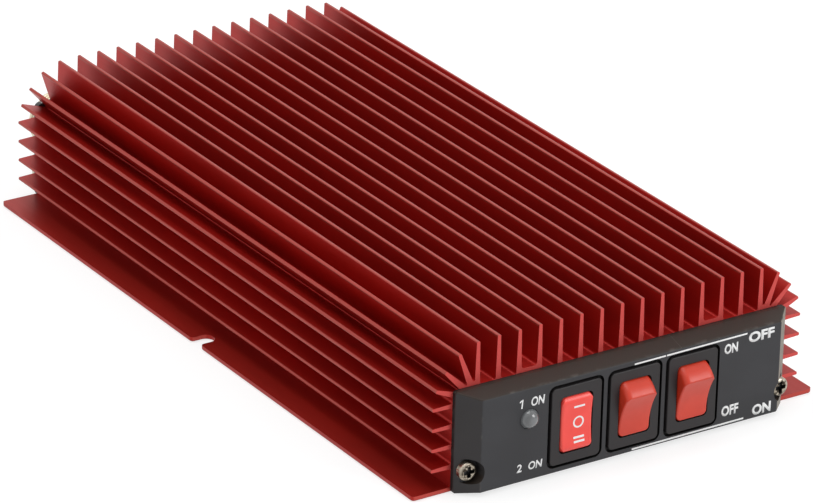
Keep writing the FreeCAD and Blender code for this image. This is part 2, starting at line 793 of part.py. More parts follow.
def rocker(x, three_way):
    """A rocker, level: its paddle, two trunnions, and the post that guides the plunger."""
    if three_way:
        ridge_reach = pivot_depth + three_way_proud - three_way_round
        ridge = math.degrees(math.acos(ridge_reach / (rocker_radius - three_way_round)))
        profile = rocker_profile(ridge, three_way_round, three_way_hollow)
    else:
        profile = rocker_profile(ridge_angle, 0, rocker_hollow)
    profile.translate(Vector(-rocker_width / 2, 0, 0))
    paddle = profile.extrude(Vector(rocker_width, 0, 0))
    rims = [edge for edge in paddle.Edges if edge.Curve.TypeId == "Part::GeomCircle"]
    if not three_way:
        rims += [edge for edge in paddle.Edges
                 if edge.Curve.TypeId == "Part::GeomLine" and edge.BoundBox.YMax < pivot_y - same_place]
    paddle = paddle.makeFillet(three_way_edge if three_way else rocker_edge, rims)
    drum = rod(rocker_radius, (-rocker_width / 2, pivot_y, switch_z), (1, 0, 0), rocker_width)
    ends = [edge for edge in drum.Edges if edge.Curve.TypeId == "Part::GeomCircle"]
    paddle = solid_of(paddle.common(drum.makeFillet(rocker_corner, ends)))
    paddle.translate(Vector(x, 0, 0))
    trunnions = rod(trunnion_radius, (x - rocker_width / 2 - trunnion_length, pivot_y, switch_z), (1, 0, 0),
                    rocker_width + 2 * trunnion_length)
    post = rod(post_radius, (x, pivot_y, switch_z), (0, 1, 0), post_length)
    bore = rod(plunger_radius + plunger_gap, (x, pivot_y - plunger_socket, switch_z), (0, 1, 0),
               plunger_socket + post_length)
    return solid_of(joined([paddle, trunnions, post]).cut(bore))


def plunger(x):
    """The sprung pin behind a rocker, with its round tip to the rear."""
    start = pivot_y - plunger_socket + spring_length
    tip_centre = pivot_y + plunger_reach - plunger_radius
    pin = rod(plunger_radius, (x, start, switch_z), (0, 1, 0), tip_centre - start)
    return pin.fuse(Part.makeSphere(plunger_radius, Vector(x, tip_centre, switch_z))).removeSplitter()


def plunger_spring(x):
    """The spring in a rocker's bore, between the bore's floor and the plunger."""
    turns = int((spring_length - 2 * running_gap) // spring_turn)
    centre = (x, pivot_y - plunger_socket + spring_length / 2, switch_z)
    return wound_sleeve(plunger_radius, spring_turn, turns, plunger_radius - spring_wire, centre, "y")


def contact_blade(x):
    """The see-saw blade, level, with a contact button at each end."""
    strip = block((x - blade_width / 2, x + blade_width / 2),
                  (blade_pivot_y - blade_thickness, blade_pivot_y),
                  (switch_z - blade_half_length - stud_radius, switch_z + blade_half_length + stud_radius))
    corners = [edge for edge in strip.Edges if edge.BoundBox.YLength > blade_thickness / 2]
    return strip.makeFillet(stud_radius / 2, corners)


def terminals(x, half_travel):
    """The three terminals: a knife edge that carries the blade, and a stud behind each of its ends."""
    board_exit = front_board_back + pin_tail
    shapes = []
    throw = (blade_half_length + stud_radius) * math.sin(math.radians(blade_ratio * half_travel))
    for step in (-1, 0, 1):
        z = switch_z + step * blade_half_length
        half = terminal_thickness / 2
        start = blade_pivot_y + (throw + contact_gap if step else knife_gap + half)
        tongue = block((x - terminal_width / 2, x + terminal_width / 2), (start, switch_back),
                       (z - half, z + half))
        pin = block((x - pin_width / 2, x + pin_width / 2), (switch_back, board_exit), (z - half, z + half))
        if step:
            tip = block((x - terminal_width / 2, x + terminal_width / 2), (start, start + half),
                        (z - stud_radius, z + stud_radius))
        else:
            points = [Vector(x - terminal_width / 2, blade_pivot_y + knife_gap, z),
                      Vector(x - terminal_width / 2, start, z - half),
                      Vector(x - terminal_width / 2, start, z + half),
                      Vector(x - terminal_width / 2, blade_pivot_y + knife_gap, z)]
            tip = Part.Face(Part.makePolygon(points)).extrude(Vector(terminal_width, 0, 0))
        shapes.append(joined([tip, tongue, pin]))
    return shapes


# ---- Lamp and front board ---------------------------------------------------------------------

def status_lamp():
    """A round-topped lamp body whose rim sits behind the panel's sleeve."""
    dome_centre = lamp_tip + lamp_radius
    body = rod(lamp_radius, (lamp_x, dome_centre, lamp_height), (0, 1, 0), lamp_back - dome_centre)
    dome = Part.makeSphere(lamp_radius, Vector(lamp_x, dome_centre, lamp_height))
    rim = rod(lamp_rim_radius, (lamp_x, lamp_back - lamp_rim, lamp_height), (0, 1, 0), lamp_rim)
    return joined([body, dome, rim])


def lamp_leads():
    """The lamp's two wires, from its base through the front board."""
    half = lamp_lead / 2
    return [block((x - half, x + half), (lamp_back, front_board_back + pin_tail),
                  (lamp_height - half, lamp_height + half))
            for x in row_places(2, lamp_lead_spacing, lamp_x)]


def front_board():
    """The upright board behind the switches, with its holes."""
    left = lamp_x - lamp_rim_radius - front_board_margin
    right = switches[-1][1] + switch_width / 2 + front_board_margin
    board = block((left, right), (front_board_front, front_board_back),
                  (base_thickness + front_board_clearance, ceiling - front_board_clearance))
    holes = []
    for _, x, _, _ in switches:
        for step in (-1, 0, 1):
            z = switch_z + step * blade_half_length
            holes.append((x, z, pin_width, terminal_thickness))
    for x in row_places(2, lamp_lead_spacing, lamp_x):
        holes.append((x, lamp_height, lamp_lead, lamp_lead))
    for x in header_spots:
        holes.append((x, header_height, header_pin, header_pin))
    cuts = [block((x - width / 2 - drill_gap, x + width / 2 + drill_gap),
                  (front_board_front, front_board_back),
                  (z - height / 2 - drill_gap, z + height / 2 + drill_gap)) for x, z, width, height in holes]
    return solid_of(board.cut(cuts))


def header_strip():
    """The header's insulating strip, on the front board's rear face."""
    strip = block((header_spots[0] - header_pitch / 2, header_spots[-1] + header_pitch / 2),
                  (front_board_back, front_board_back + header_body),
                  (header_height - header_body / 2, header_height + header_body / 2))
    cuts = [block((x - header_pin / 2 - drill_gap, x + header_pin / 2 + drill_gap),
                  (front_board_back, front_board_back + header_body),
                  (header_height - header_pin / 2 - drill_gap, header_height + header_pin / 2 + drill_gap))
            for x in header_spots]
    return solid_of(strip.cut(cuts))


def header_row_y():
    """Depth of the header's upright pins in the main board."""
    return board_front + header_pitch


def header_pins():
    """Right-angled pins from the front board up into the main board."""
    half = header_pin / 2
    shapes = []
    for x in header_spots:
        run = block((x - half, x + half), (front_board_front, header_row_y() + half),
                    (header_height - half, header_height + half))
        rise = block((x - half, x + half), (header_row_y() - half, header_row_y() + half),
                     (header_height - half, board_top + pin_tail))
        shapes.append(joined([run, rise]))
    return shapes


# ---- Main board and what hangs from it --------------------------------------------------------

def relay(x, y):
    """A sealed relay with five pins."""
    width, depth, height = relay_size
    can = block((x - width / 2, x + width / 2), (y - depth / 2, y + depth / 2),
                (board_bottom - height, board_bottom))
    corners = [edge for edge in can.Edges if edge.BoundBox.ZMin < board_bottom - height / 2]
    can = can.makeFillet(relay_edge, corners)
    far_x = width / 2 - relay_pin_inset
    far_y = depth / 2 - relay_pin_inset
    pins = [board_wire(x + u, y + v, board_bottom - wire_root)
            for u, v in ((-far_x, -far_y), (-far_x, far_y), (relay_coil_pin, -far_y),
                         (relay_coil_pin, far_y), (far_x, 0.0))]
    return joined([can] + pins)


def can_capacitor(x, y):
    """An upright can capacitor with a grooved neck."""
    body = rod(capacitor_radius, (x, y, board_bottom - capacitor_height), (0, 0, 1), capacitor_height)
    groove = Part.makeTorus(capacitor_radius, wire_radius, Vector(x, y, board_bottom - capacitor_groove))
    pins = [board_wire(x + side * capacitor_radius / 2, y, board_bottom - wire_root) for side in (-1, 1)]
    return joined([solid_of(body.cut(groove))] + pins)


def disc_capacitor(x, y):
    """A disc capacitor that stands off the board on two wires."""
    centre_z = board_bottom - part_gap - disc_radius
    disc = rod(disc_radius, (x, y - disc_thickness / 2, centre_z), (0, 1, 0), disc_thickness)
    rims = [edge for edge in disc.Edges if edge.Closed and edge.BoundBox.YLength < same_place]
    disc = disc.makeFillet(disc_rim, rims)
    pins = [board_wire(x + side * disc_pin_spacing / 2, y, centre_z) for side in (-1, 1)]
    return joined([disc] + pins)


def filter_coil(x, y):
    """An air-wound coil of the output filter, with a lead at each end."""
    centre_z = board_bottom - part_gap - coil_radius
    half_length = coil_turns * coil_wire / 2
    sleeve = wound_sleeve(coil_radius, coil_wire, coil_turns, coil_radius - coil_wire, (x, y, centre_z), "x")
    pins = [board_wire(x + side * (half_length - coil_wire / 2), y, centre_z + coil_radius - coil_wire / 2)
            for side in (-1, 1)]
    return joined([sleeve] + pins)


def resistor(x, y):
    """A resistor on two bent leads."""
    centre_z = board_bottom - part_gap - resistor_radius
    reach = resistor_length / 2 + resistor_lead
    body = rod(resistor_radius, (x - resistor_length / 2, y, centre_z), (1, 0, 0), resistor_length)
    ends = [edge for edge in body.Edges if edge.Closed and edge.BoundBox.XLength < same_place]
    body = body.makeFillet(resistor_round, ends)
    lead = rod(wire_radius, (x - reach, y, centre_z), (1, 0, 0), 2 * reach)
    bends = [Part.makeSphere(wire_radius, Vector(x + side * reach, y, centre_z)) for side in (-1, 1)]
    pins = [board_wire(x + side * reach, y, centre_z) for side in (-1, 1)]
    return joined([body, lead] + bends + pins)


def wire_loop(centre, half_length, half_width, radius):
    """A closed turn of wire: two straight runs along X joined by half rings."""
    x, y, z = centre
    runs = [rod(radius, (x - half_length, y + side * half_width, z), (1, 0, 0), 2 * half_length)
            for side in (-1, 1)]
    bends = []
    for side in (-1, 1):
        bend = Part.makeTorus(half_width, radius, Vector(), Vector(0, 0, 1), 0, 360, 180)
        bend.rotate(Vector(), Vector(0, 0, 1), -90 * side)
        bend.translate(Vector(x + side * half_length, y, z))
        bends.append(bend)
    return joined(runs + bends)


def output_transformer():
    """Sleeves, the brass frame through them, and the wire turns: three nodes."""
    z = board_bottom - part_gap - sleeve_radius
    y = output_transformer_y
    half = sleeve_length / 2
    spots = [y + side * sleeve_spacing / 2 for side in (-1, 1)]
    sleeves = [rod(sleeve_radius, (-half, spot, z), (1, 0, 0), sleeve_length)
               .cut(rod(sleeve_bore, (-half, spot, z), (1, 0, 0), sleeve_length)) for spot in spots]
    tubes = [rod(tube_radius, (-output_plate_x, spot, z), (1, 0, 0), 2 * output_plate_x)
             for spot in spots]
    plates = []
    for side in (-1, 1):
        inner_face = side * (half + part_gap)
        limits = sorted((inner_face, inner_face + side * end_plate))
        plates.append(block(limits, (spots[0] - sleeve_radius, spots[1] + sleeve_radius),
                            (z - sleeve_radius, board_bottom)))
    bores = [rod(tube_radius - tube_wall, (-output_plate_x, spot, z), (1, 0, 0), 2 * output_plate_x)
             for spot in spots]
    frame = joined(tubes + plates).cut(bores)
    turns = [wire_loop((0, y, z + side * output_wire_spacing / 2), output_plate_x + output_wire_radius,
                       sleeve_spacing / 2, output_wire_radius) for side in (-1, 1)]
    save("output_transformer_sleeves", sleeves)
    save("output_transformer_frame", [frame])
    save("output_transformer_winding", turns)


def input_transformer():
    """The two-hole ferrite block and its wire turns: two nodes."""
    x = input_transformer_x
    y = board_front + input_transformer_y
    length, depth, height = block_size
    z = board_bottom - height / 2
    core = block((x - length / 2, x + length / 2), (y - depth / 2 - block_hole, y + depth / 2 + block_hole),
                 (board_bottom - height, board_bottom))
    holes = [rod(block_hole, (x - length / 2, y + side * block_hole_spacing / 2, z), (1, 0, 0), length)
             for side in (-1, 1)]
    turns = [wire_loop((x, y, z + side * block_wire_spacing / 2), length / 2 + block_wire_radius,
                       block_hole_spacing / 2, block_wire_radius) for side in (-1, 1)]
    save("input_transformer_core", [core.cut(holes)])
    save("input_transformer_winding", turns)


def supply_choke(x, y):
    """The supply choke: a ferrite rod with a close winding, along Y: two nodes."""
    z = board_bottom - part_gap - choke_radius
    half = choke_turns * choke_wire / 2
    core_half = half + choke_core_extra
    core = rod(choke_core_radius - running_gap, (x, y - core_half, z), (0, 1, 0), 2 * core_half)
    sleeve = wound_sleeve(choke_radius, choke_wire, choke_turns, choke_core_radius, (x, y, z), "y")
    pins = [board_wire(x, y + side * (half - choke_wire / 2), z + choke_radius - choke_wire / 2)
            for side in (-1, 1)]
    save("supply_choke_core", [core])
    save("supply_choke_winding", [joined([sleeve] + pins)])


def bias_trimmer():
    """The trimmer's body and its slotted rotor: two nodes."""
    x = trimmer_x
    y = board_front + trimmer_y
    low = board_bottom - trimmer_height
    body = block((x - trimmer_size / 2, x + trimmer_size / 2), (y - trimmer_size / 2, y + trimmer_size / 2),
                 (low, board_bottom))
    body = body.cut(rod(trimmer_radius + running_gap, (x, y, low), (0, 0, 1), trimmer_depth))
    reach = trimmer_size / 2 - trimmer_pin_inset
    pins = [board_wire(x + u * reach, y + v * reach, low + trimmer_depth + running_gap)
            for u, v in ((-1, -1), (1, -1), (0, 1))]
    rotor = rod(trimmer_radius, (x, y, low), (0, 0, 1), trimmer_depth - running_gap)
    slot = block((x - trimmer_radius, x + trimmer_radius), (y - trimmer_slot / 2, y + trimmer_slot / 2),
                 (low, low + trimmer_slot_depth))
    save("bias_trimmer_body", [joined([body] + pins)])
    save("bias_trimmer_rotor", [rotor.cut(slot)])


def transistor_shape(x):
    """A tab-mounted transistor: tab against the deck, moulded body, three leads bent to the board."""
    tab_end = transistor_y + tab_length
    tab = block((x - transistor_width / 2, x + transistor_width / 2), (transistor_y, tab_end),
                (transistor_top - tab_thickness, transistor_top))
    tab = tab.cut(rod(plain_radius, (x, transistor_y + tab_hole_y, transistor_top - tab_thickness),
                      (0, 0, 1), tab_thickness))
    body = block((x - transistor_width / 2, x + transistor_width / 2), (transistor_y + case_start, tab_end),
                 (transistor_top - case_thickness, transistor_top - tab_thickness))
    leads = []
    lead_z = transistor_top - lead_height
    for step in (-1, 0, 1):
        lead_x = x + step * header_pitch
        bend = tab_end + lead_run
        drilled.append((lead_x, bend - lead_thickness / 2))
        leads.append(block((lead_x - lead_width / 2, lead_x + lead_width / 2), (tab_end, bend),
                           (lead_z - lead_thickness / 2, lead_z + lead_thickness / 2)))
        leads.append(block((lead_x - lead_width / 2, lead_x + lead_width / 2), (bend - lead_thickness, bend),
                           (board_bottom - pin_tail, lead_z + lead_thickness / 2)))
    return joined([tab, body] + leads)


def transistor_pads():
    """Insulating pads between the tabs and the deck."""
    return [block((x - transistor_width / 2 - pad_margin, x + transistor_width / 2 + pad_margin),
                  (transistor_y - pad_margin, transistor_y + tab_length + pad_margin),
                  (transistor_top, ceiling))
            .cut(rod(plain_radius, (x, transistor_y + tab_hole_y, transistor_top), (0, 0, 1), pad_thickness))
            for x in transistor_spots]


def main_board():
    """The main board, with windows for the transistors and holes for every wire and screw."""
    half_width = board_width / 2
    corners = [(-half_width, board_front, board_corner), (half_width, board_front, board_corner),
               (half_width, board_rear, board_corner), (-half_width, board_rear, board_corner)]
    board = rounded_face(corners, lambda u, v: Vector(u, v, board_bottom))
    board = board.extrude(Vector(0, 0, board_thickness))
    cuts = [rod(plain_radius, (x, y, board_bottom), (0, 0, 1), board_thickness) for x, y in spacer_spots]
    half_window = transistor_width / 2 + window_margin
    for x in transistor_spots:
        cuts.append(block((x - half_window, x + half_window),
                          (transistor_y - window_margin, transistor_y + tab_length + window_margin),
                          (board_bottom, board_top)))
    lead_reach = math.hypot(lead_width, lead_thickness) / 2
    hole = max(wire_radius, lead_reach) + drill_gap
    cuts += [rod(hole, (x, y, board_bottom), (0, 0, 1), board_thickness) for x, y in drilled]
    pin_hole = header_pin / math.sqrt(2) + drill_gap
    cuts += [rod(pin_hole, (x, header_row_y(), board_bottom), (0, 0, 1), board_thickness)
             for x in header_spots]
    cuts += [rod(link_radius + drill_gap, (side * socket_x, link_y(), board_bottom), (0, 0, 1),
                 board_thickness) for side in (-1, 1)]
    return solid_of(board.cut(cuts))


# ---- Rear panel, sockets and gland ------------------------------------------------------------

def rear_screw_spots():
    """Places of the rear panel's four screws, on the ends of the case's channels."""
    return [(side * x, z) for side in (-1, 1)
            for x, z in ((channel_x, channel_height), (upper_channel_x, upper_channel_z))]


def rear_panel():
    """The flat rear panel, drilled for the sockets, the gland and its screws."""
    half_height = (panel_top - panel_lift) / 2
    plate = rounded_slab(wall_width, 2 * half_height, rear_corner, 0, panel_lift + half_height,
                         (rear, rear_outside))
    cuts = [rod(plain_radius, (x, rear, z), (0, 1, 0), rear_thickness) for x, z in rear_screw_spots()]
    cuts += [rod(barrel_radius + panel_hole_gap, (side * socket_x, rear, socket_height), (0, 1, 0),
                 rear_thickness) for side in (-1, 1)]
    cuts.append(rod(gland_radius + panel_hole_gap, (0, rear, socket_height), (0, 1, 0), rear_thickness))
    return solid_of(plate.cut(cuts))


def socket_shell(x):
    """A threaded barrel with an inner flange, a bore for the plug and notches in its end."""
    start = rear - inner_flange
    thread_start = rear_outside + nut_thickness
    neck = rod(barrel_neck_radius, (x, start, socket_height), (0, 1, 0), thread_start - start)
    barrel = rod(barrel_radius, (x, thread_start, socket_height), (0, 1, 0), barrel_end - thread_start)
    flange = rod(inner_flange_radius, (x, start, socket_height), (0, 1, 0), inner_flange)
    shell = joined([neck, barrel, flange])
    cuts = [rod(barrel_bore, (x, socket_step, socket_height), (0, 1, 0), barrel_bore_depth),
            rod(barrel_neck_bore, (x, start, socket_height), (0, 1, 0), socket_step - start)]
    for number in range(barrel_notches):
        gap = block((x - notch_cut / 2, x + notch_cut / 2),
                    (barrel_end - notch_cut_depth, barrel_end),
                    (socket_height + barrel_bore - tapped_gap, socket_height + 2 * barrel_radius))
        gap.rotate(Vector(x, 0, socket_height), Vector(0, 1, 0), (number + 0.5) * 360 / barrel_notches)
        cuts.append(gap)
    return solid_of(shell.cut(cuts))


def socket_insulator(x):
    """The insulator inside a barrel, with a shoulder on the barrel's step."""
    start = rear - inner_flange - insulator_tail
    end = barrel_end - mouth_depth
    parts = [rod(barrel_neck_bore - tapped_gap, (x, start, socket_height), (0, 1, 0), socket_step - start),
             rod(barrel_bore - tapped_gap, (x, socket_step, socket_height), (0, 1, 0), insulator_shoulder),
             rod(insulator_nose_radius, (x, socket_step, socket_height), (0, 1, 0), end - socket_step)]
    bore = rod(contact_radius + tapped_gap, (x, start, socket_height), (0, 1, 0), end - start)
    return solid_of(joined(parts).cut(bore))


def contact_back_y():
    """Rear face of the insulator, against which a contact's collar sits."""
    return rear - inner_flange - insulator_tail


def socket_contact(x):
    """The centre contact: a bored pin, a collar behind the insulator and a solder tail."""
    end = barrel_end - mouth_depth
    collar_start = contact_back_y() - contact_collar
    parts = [rod(contact_radius, (x, collar_start, socket_height), (0, 1, 0), end - collar_start),
             rod(contact_collar_radius, (x, collar_start, socket_height), (0, 1, 0), contact_collar),
             rod(contact_tail_radius, (x, collar_start - contact_tail, socket_height), (0, 1, 0),
                 contact_tail)]
    bore = rod(contact_bore, (x, end - contact_bore_depth, socket_height), (0, 1, 0), contact_bore_depth)
    return solid_of(joined(parts).cut(bore))


def link_start_y():
    """Inner end of a contact's solder tail, where its link wire starts."""
    return contact_back_y() - contact_collar - contact_tail


def link_y():
    """Depth at which the link wires pass through the main board."""
    return link_start_y() - link_run


def socket_link(x):
    """A stout wire from a socket's contact up through the main board."""
    run = rod(link_radius, (x, link_y(), socket_height), (0, 1, 0), link_run)
    bend = Part.makeSphere(link_radius, Vector(x, link_y(), socket_height))
    rise = rod(link_radius, (x, link_y(), socket_height), (0, 0, 1), board_top + pin_tail - socket_height)
    return joined([run, bend, rise])


def lead_gland():
    """The moulded gland for the supply lead: flange outside, lock inside, tapered nose and bore."""
    parts = [rod(gland_radius, (0, rear - gland_lock, socket_height), (0, 1, 0), gland_lock + rear_thickness),
             rod(gland_lock_radius, (0, rear - gland_lock, socket_height), (0, 1, 0), gland_lock),
             rod(gland_flange_radius, (0, rear_outside, socket_height), (0, 1, 0), gland_flange),
             cone(gland_radius, gland_nose_radius, (0, rear_outside + gland_flange, socket_height),
                  (0, 1, 0), gland_nose)]
    length = gland_lock + rear_thickness + gland_flange + gland_nose
    bore = rod(gland_bore, (0, rear - gland_lock, socket_height), (0, 1, 0), length)
    return solid_of(joined(parts).cut(bore))


# ---- Build every node -------------------------------------------------------------------------

save("heatsink_cover", [heatsink_cover()])
save("base_plate", [base_plate()])
save("base_screws", base_screws())
save("front_panel", [front_panel()])
save("front_panel_screws", front_panel_screws())

for name, x, half_travel, rest_tilt in switches:
    three_way = name == "preamp"
    save(f"{name}_switch_body", [switch_body(x)])
    save(f"{name}_rocker", [tilted(rocker(x, three_way), rest_tilt, pivot_y, switch_z)])
    save(f"{name}_plunger", [tilted(plunger(x), rest_tilt, pivot_y, switch_z)])
    save(f"{name}_plunger_spring", [tilted(plunger_spring(x), rest_tilt, pivot_y, switch_z)])
    save(f"{name}_contact_blade",
         [tilted(contact_blade(x), -blade_ratio * rest_tilt, blade_pivot_y, switch_z)])
    save(f"{name}_terminals", terminals(x, half_travel))

save("status_lamp", [status_lamp()])
save("lamp_leads", lamp_leads())
save("front_board", [front_board()])
save("header_strip", [header_strip()])
save("header_pins", header_pins())

output_transformer()
input_transformer()
supply_choke(output_reach + output_side_gap + choke_radius, output_transformer_y)
bias_trimmer()
save("relays", [relay(-relay_x, board_front + front_relay_y), relay(relay_x, board_rear - rear_relay_y)])
save("can_capacitors", [can_capacitor(-output_reach - output_side_gap - capacitor_radius,
                                      output_transformer_y),
                        can_capacitor(bias_capacitor_x, board_front + bias_capacitor_y)])
save("disc_capacitors", [disc_capacitor(x, board_rear - disc_row_y)
                         for x in row_places(disc_count, disc_spacing)])
save("filter_coils", [filter_coil(x, board_rear - coil_row_y)
                      for x in row_places(coil_count, coil_spacing, coil_row_x)])
save("resistors", [resistor(x, board_front + resistor_row_y)
                   for x in row_places(resistor_count, resistor_spacing, resistor_row_x)])
save("power_transistors", [transistor_shape(x) for x in transistor_spots])
save("transistor_pads", transistor_pads())
save("transistor_screws",
     [pan_screw((x, transistor_y + tab_hole_y, transistor_top - tab_thickness), (0, 0, 1),
                tab_thickness + pad_thickness + deck_thread_depth - clearance_gap, head_radius)
      for x in transistor_spots])
save("board_spacers", [hexagon(spacer_across, (x, y, board_top), (0, 0, 1), board_gap, plain_radius)
                       for x, y in spacer_spots])
save("board_screws",
     [pan_screw((x, y, board_bottom), (0, 0, 1),
                board_thickness + board_gap + deck_thread_depth - clearance_gap, head_radius)
      for x, y in spacer_spots])
save("main_board", [main_board()])

save("rear_panel", [rear_panel()])
save("rear_panel_screws", [pan_screw((x, rear_outside, z), (0, -1, 0), rear_screw_length, panel_head_radius)
                           for x, z in rear_screw_spots()])
save("antenna_socket_shell", [socket_shell(-socket_x)])
save("radio_socket_shell", [socket_shell(socket_x)])
save("socket_nuts", [hexagon(nut_across, (side * socket_x, rear_outside, socket_height), (0, 1, 0),
                             nut_thickness, barrel_neck_radius + tapped_gap) for side in (-1, 1)])
save("socket_insulators", [socket_insulator(side * socket_x) for side in (-1, 1)])
save("socket_contacts", [socket_contact(side * socket_x) for side in (-1, 1)])
save("socket_links", [socket_link(side * socket_x) for side in (-1, 1)])
save("lead_gland", [lead_gland()])
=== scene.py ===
# %% [markdown]
# # Dressing a finned radio amplifier
#
# The metal case, the switches and everything inside this amplifier were drawn beforehand as
# solids with their real sizes. This lesson gives them their finishes, and adds what a solid
# model leaves out: screw threads, printed lines and words, and the wear along the edges.
# Each step says what the piece is on the real object and why it is made the way it is here.

# %% Load the solids
import math

import bmesh
import bpy
import numpy as np
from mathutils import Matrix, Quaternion, Vector
from mathutils.bvhtree import BVHTree


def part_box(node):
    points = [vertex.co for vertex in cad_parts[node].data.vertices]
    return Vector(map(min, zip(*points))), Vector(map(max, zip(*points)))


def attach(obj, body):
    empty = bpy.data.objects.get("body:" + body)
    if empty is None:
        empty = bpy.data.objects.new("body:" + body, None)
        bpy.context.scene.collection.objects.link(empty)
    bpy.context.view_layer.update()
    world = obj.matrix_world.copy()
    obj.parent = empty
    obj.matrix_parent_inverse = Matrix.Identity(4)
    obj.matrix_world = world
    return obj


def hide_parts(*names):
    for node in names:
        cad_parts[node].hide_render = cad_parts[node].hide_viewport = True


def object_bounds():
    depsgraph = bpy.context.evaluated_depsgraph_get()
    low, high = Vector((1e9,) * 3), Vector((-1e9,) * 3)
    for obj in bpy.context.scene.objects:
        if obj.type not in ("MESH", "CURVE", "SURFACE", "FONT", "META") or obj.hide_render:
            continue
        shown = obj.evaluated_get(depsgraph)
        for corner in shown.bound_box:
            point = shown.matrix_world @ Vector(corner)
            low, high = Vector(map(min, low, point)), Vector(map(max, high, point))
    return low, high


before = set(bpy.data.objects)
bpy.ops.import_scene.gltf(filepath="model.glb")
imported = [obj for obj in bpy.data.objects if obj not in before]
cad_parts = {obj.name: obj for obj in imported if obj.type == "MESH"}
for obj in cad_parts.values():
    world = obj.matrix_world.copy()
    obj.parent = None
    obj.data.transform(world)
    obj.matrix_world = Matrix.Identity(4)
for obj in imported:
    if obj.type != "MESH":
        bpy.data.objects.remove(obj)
cad_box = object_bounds()
MM = 0.001                      # sizes below are written in millimetres
print("solids loaded:", len(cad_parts))

# %% [markdown]
# ## The camera
#
# A long lens from a distance keeps the fins nearly parallel, as catalogue pictures do. The
# camera looks down at the left front corner of the case. `to_track_quat` points the camera's
# own -Z axis along a direction, and a small turn about that axis gives the slight tilt of a
# camera that was levelled by hand.

# %% Camera
lens, film_width = 240.98, 36
camera_place = (-0.6776, -1.0282, 0.5716)
looking = Vector((0.5029, 0.7590, -0.4135))
tilt = math.radians(1.46)

camera_data = bpy.data.cameras.new("catalogue_camera")
camera_data.lens, camera_data.sensor_width = lens, film_width
camera = bpy.data.objects.new("catalogue_camera", camera_data)
bpy.context.scene.collection.objects.link(camera)
camera.rotation_mode = "QUATERNION"
camera.location = camera_place
camera.rotation_quaternion = looking.to_track_quat("-Z", "Y") @ Quaternion((0, 0, 1), tilt)
bpy.context.scene.camera = camera
print("camera distance:", round(Vector(camera_place).length, 3), "m")

# %% [markdown]
# ## Shader maths as plain expressions
#
# A procedural finish is a formula: a few noise patterns, added, multiplied and limited. Wiring
# one Math node for each sign is slow to write and hard to read, so a small class wraps a
# socket, and the signs of Python add the nodes. `1 - mask` works too, because the class also
# says what to do when the plain number comes first.

# %% A socket that can be calculated with
class Socket:
    """A shader output. Arithmetic on it adds one Math node for each sign."""

    def __init__(self, finish, output):
        self.finish, self.output = finish, output

    def maths(self, operation, *terms):
        return self.finish.node("ShaderNodeMath", {"operation": operation}, *terms)

    def __add__(self, other):
        return self.maths("ADD", self, other)

    def __sub__(self, other):
        return self.maths("SUBTRACT", self, other)

    def __rsub__(self, other):
        return self.maths("SUBTRACT", other, self)

    def __mul__(self, other):
        return self.maths("MULTIPLY", self, other)

    def __truediv__(self, other):
        return self.maths("DIVIDE", self, other)

    def __pow__(self, other):
        return self.maths("POWER", self, other)

    def __abs__(self):
        return self.maths("ABSOLUTE", self)

    __radd__, __rmul__ = __add__, __mul__

    def larger(self, other):
        """The larger of two values; of two masks, what lies in either."""
        return self.maths("MAXIMUM", self, other)

    def wave(self):
        """The sine of the value."""
        return self.maths("SINE", self)

    def rounded(self):
        """The nearest whole number."""
        return self.maths("ROUND", self)

    def step(self, low, high):
        """0 at low, 1 at high, a smooth change between them, and flat beyond."""
        return self.finish.node("ShaderNodeMapRange", {"interpolation_type": "SMOOTHSTEP"},
                                self, low, high, 0.0, 1.0)


print("signs that add a node:", "+ - * / **")

# %% [markdown]
# ## One way to make every finish
#
# Each material here is a `Finish`. It starts from one Principled shader, whose plain numbers
# are set on its own sockets. Patterns read Object coordinates, which are the same millimetres
# in which the solids are drawn, so a grain of one millimetre stays one millimetre on every
# piece. One method makes any node: its settings come first, and then the values or links of
# its sockets in their order.

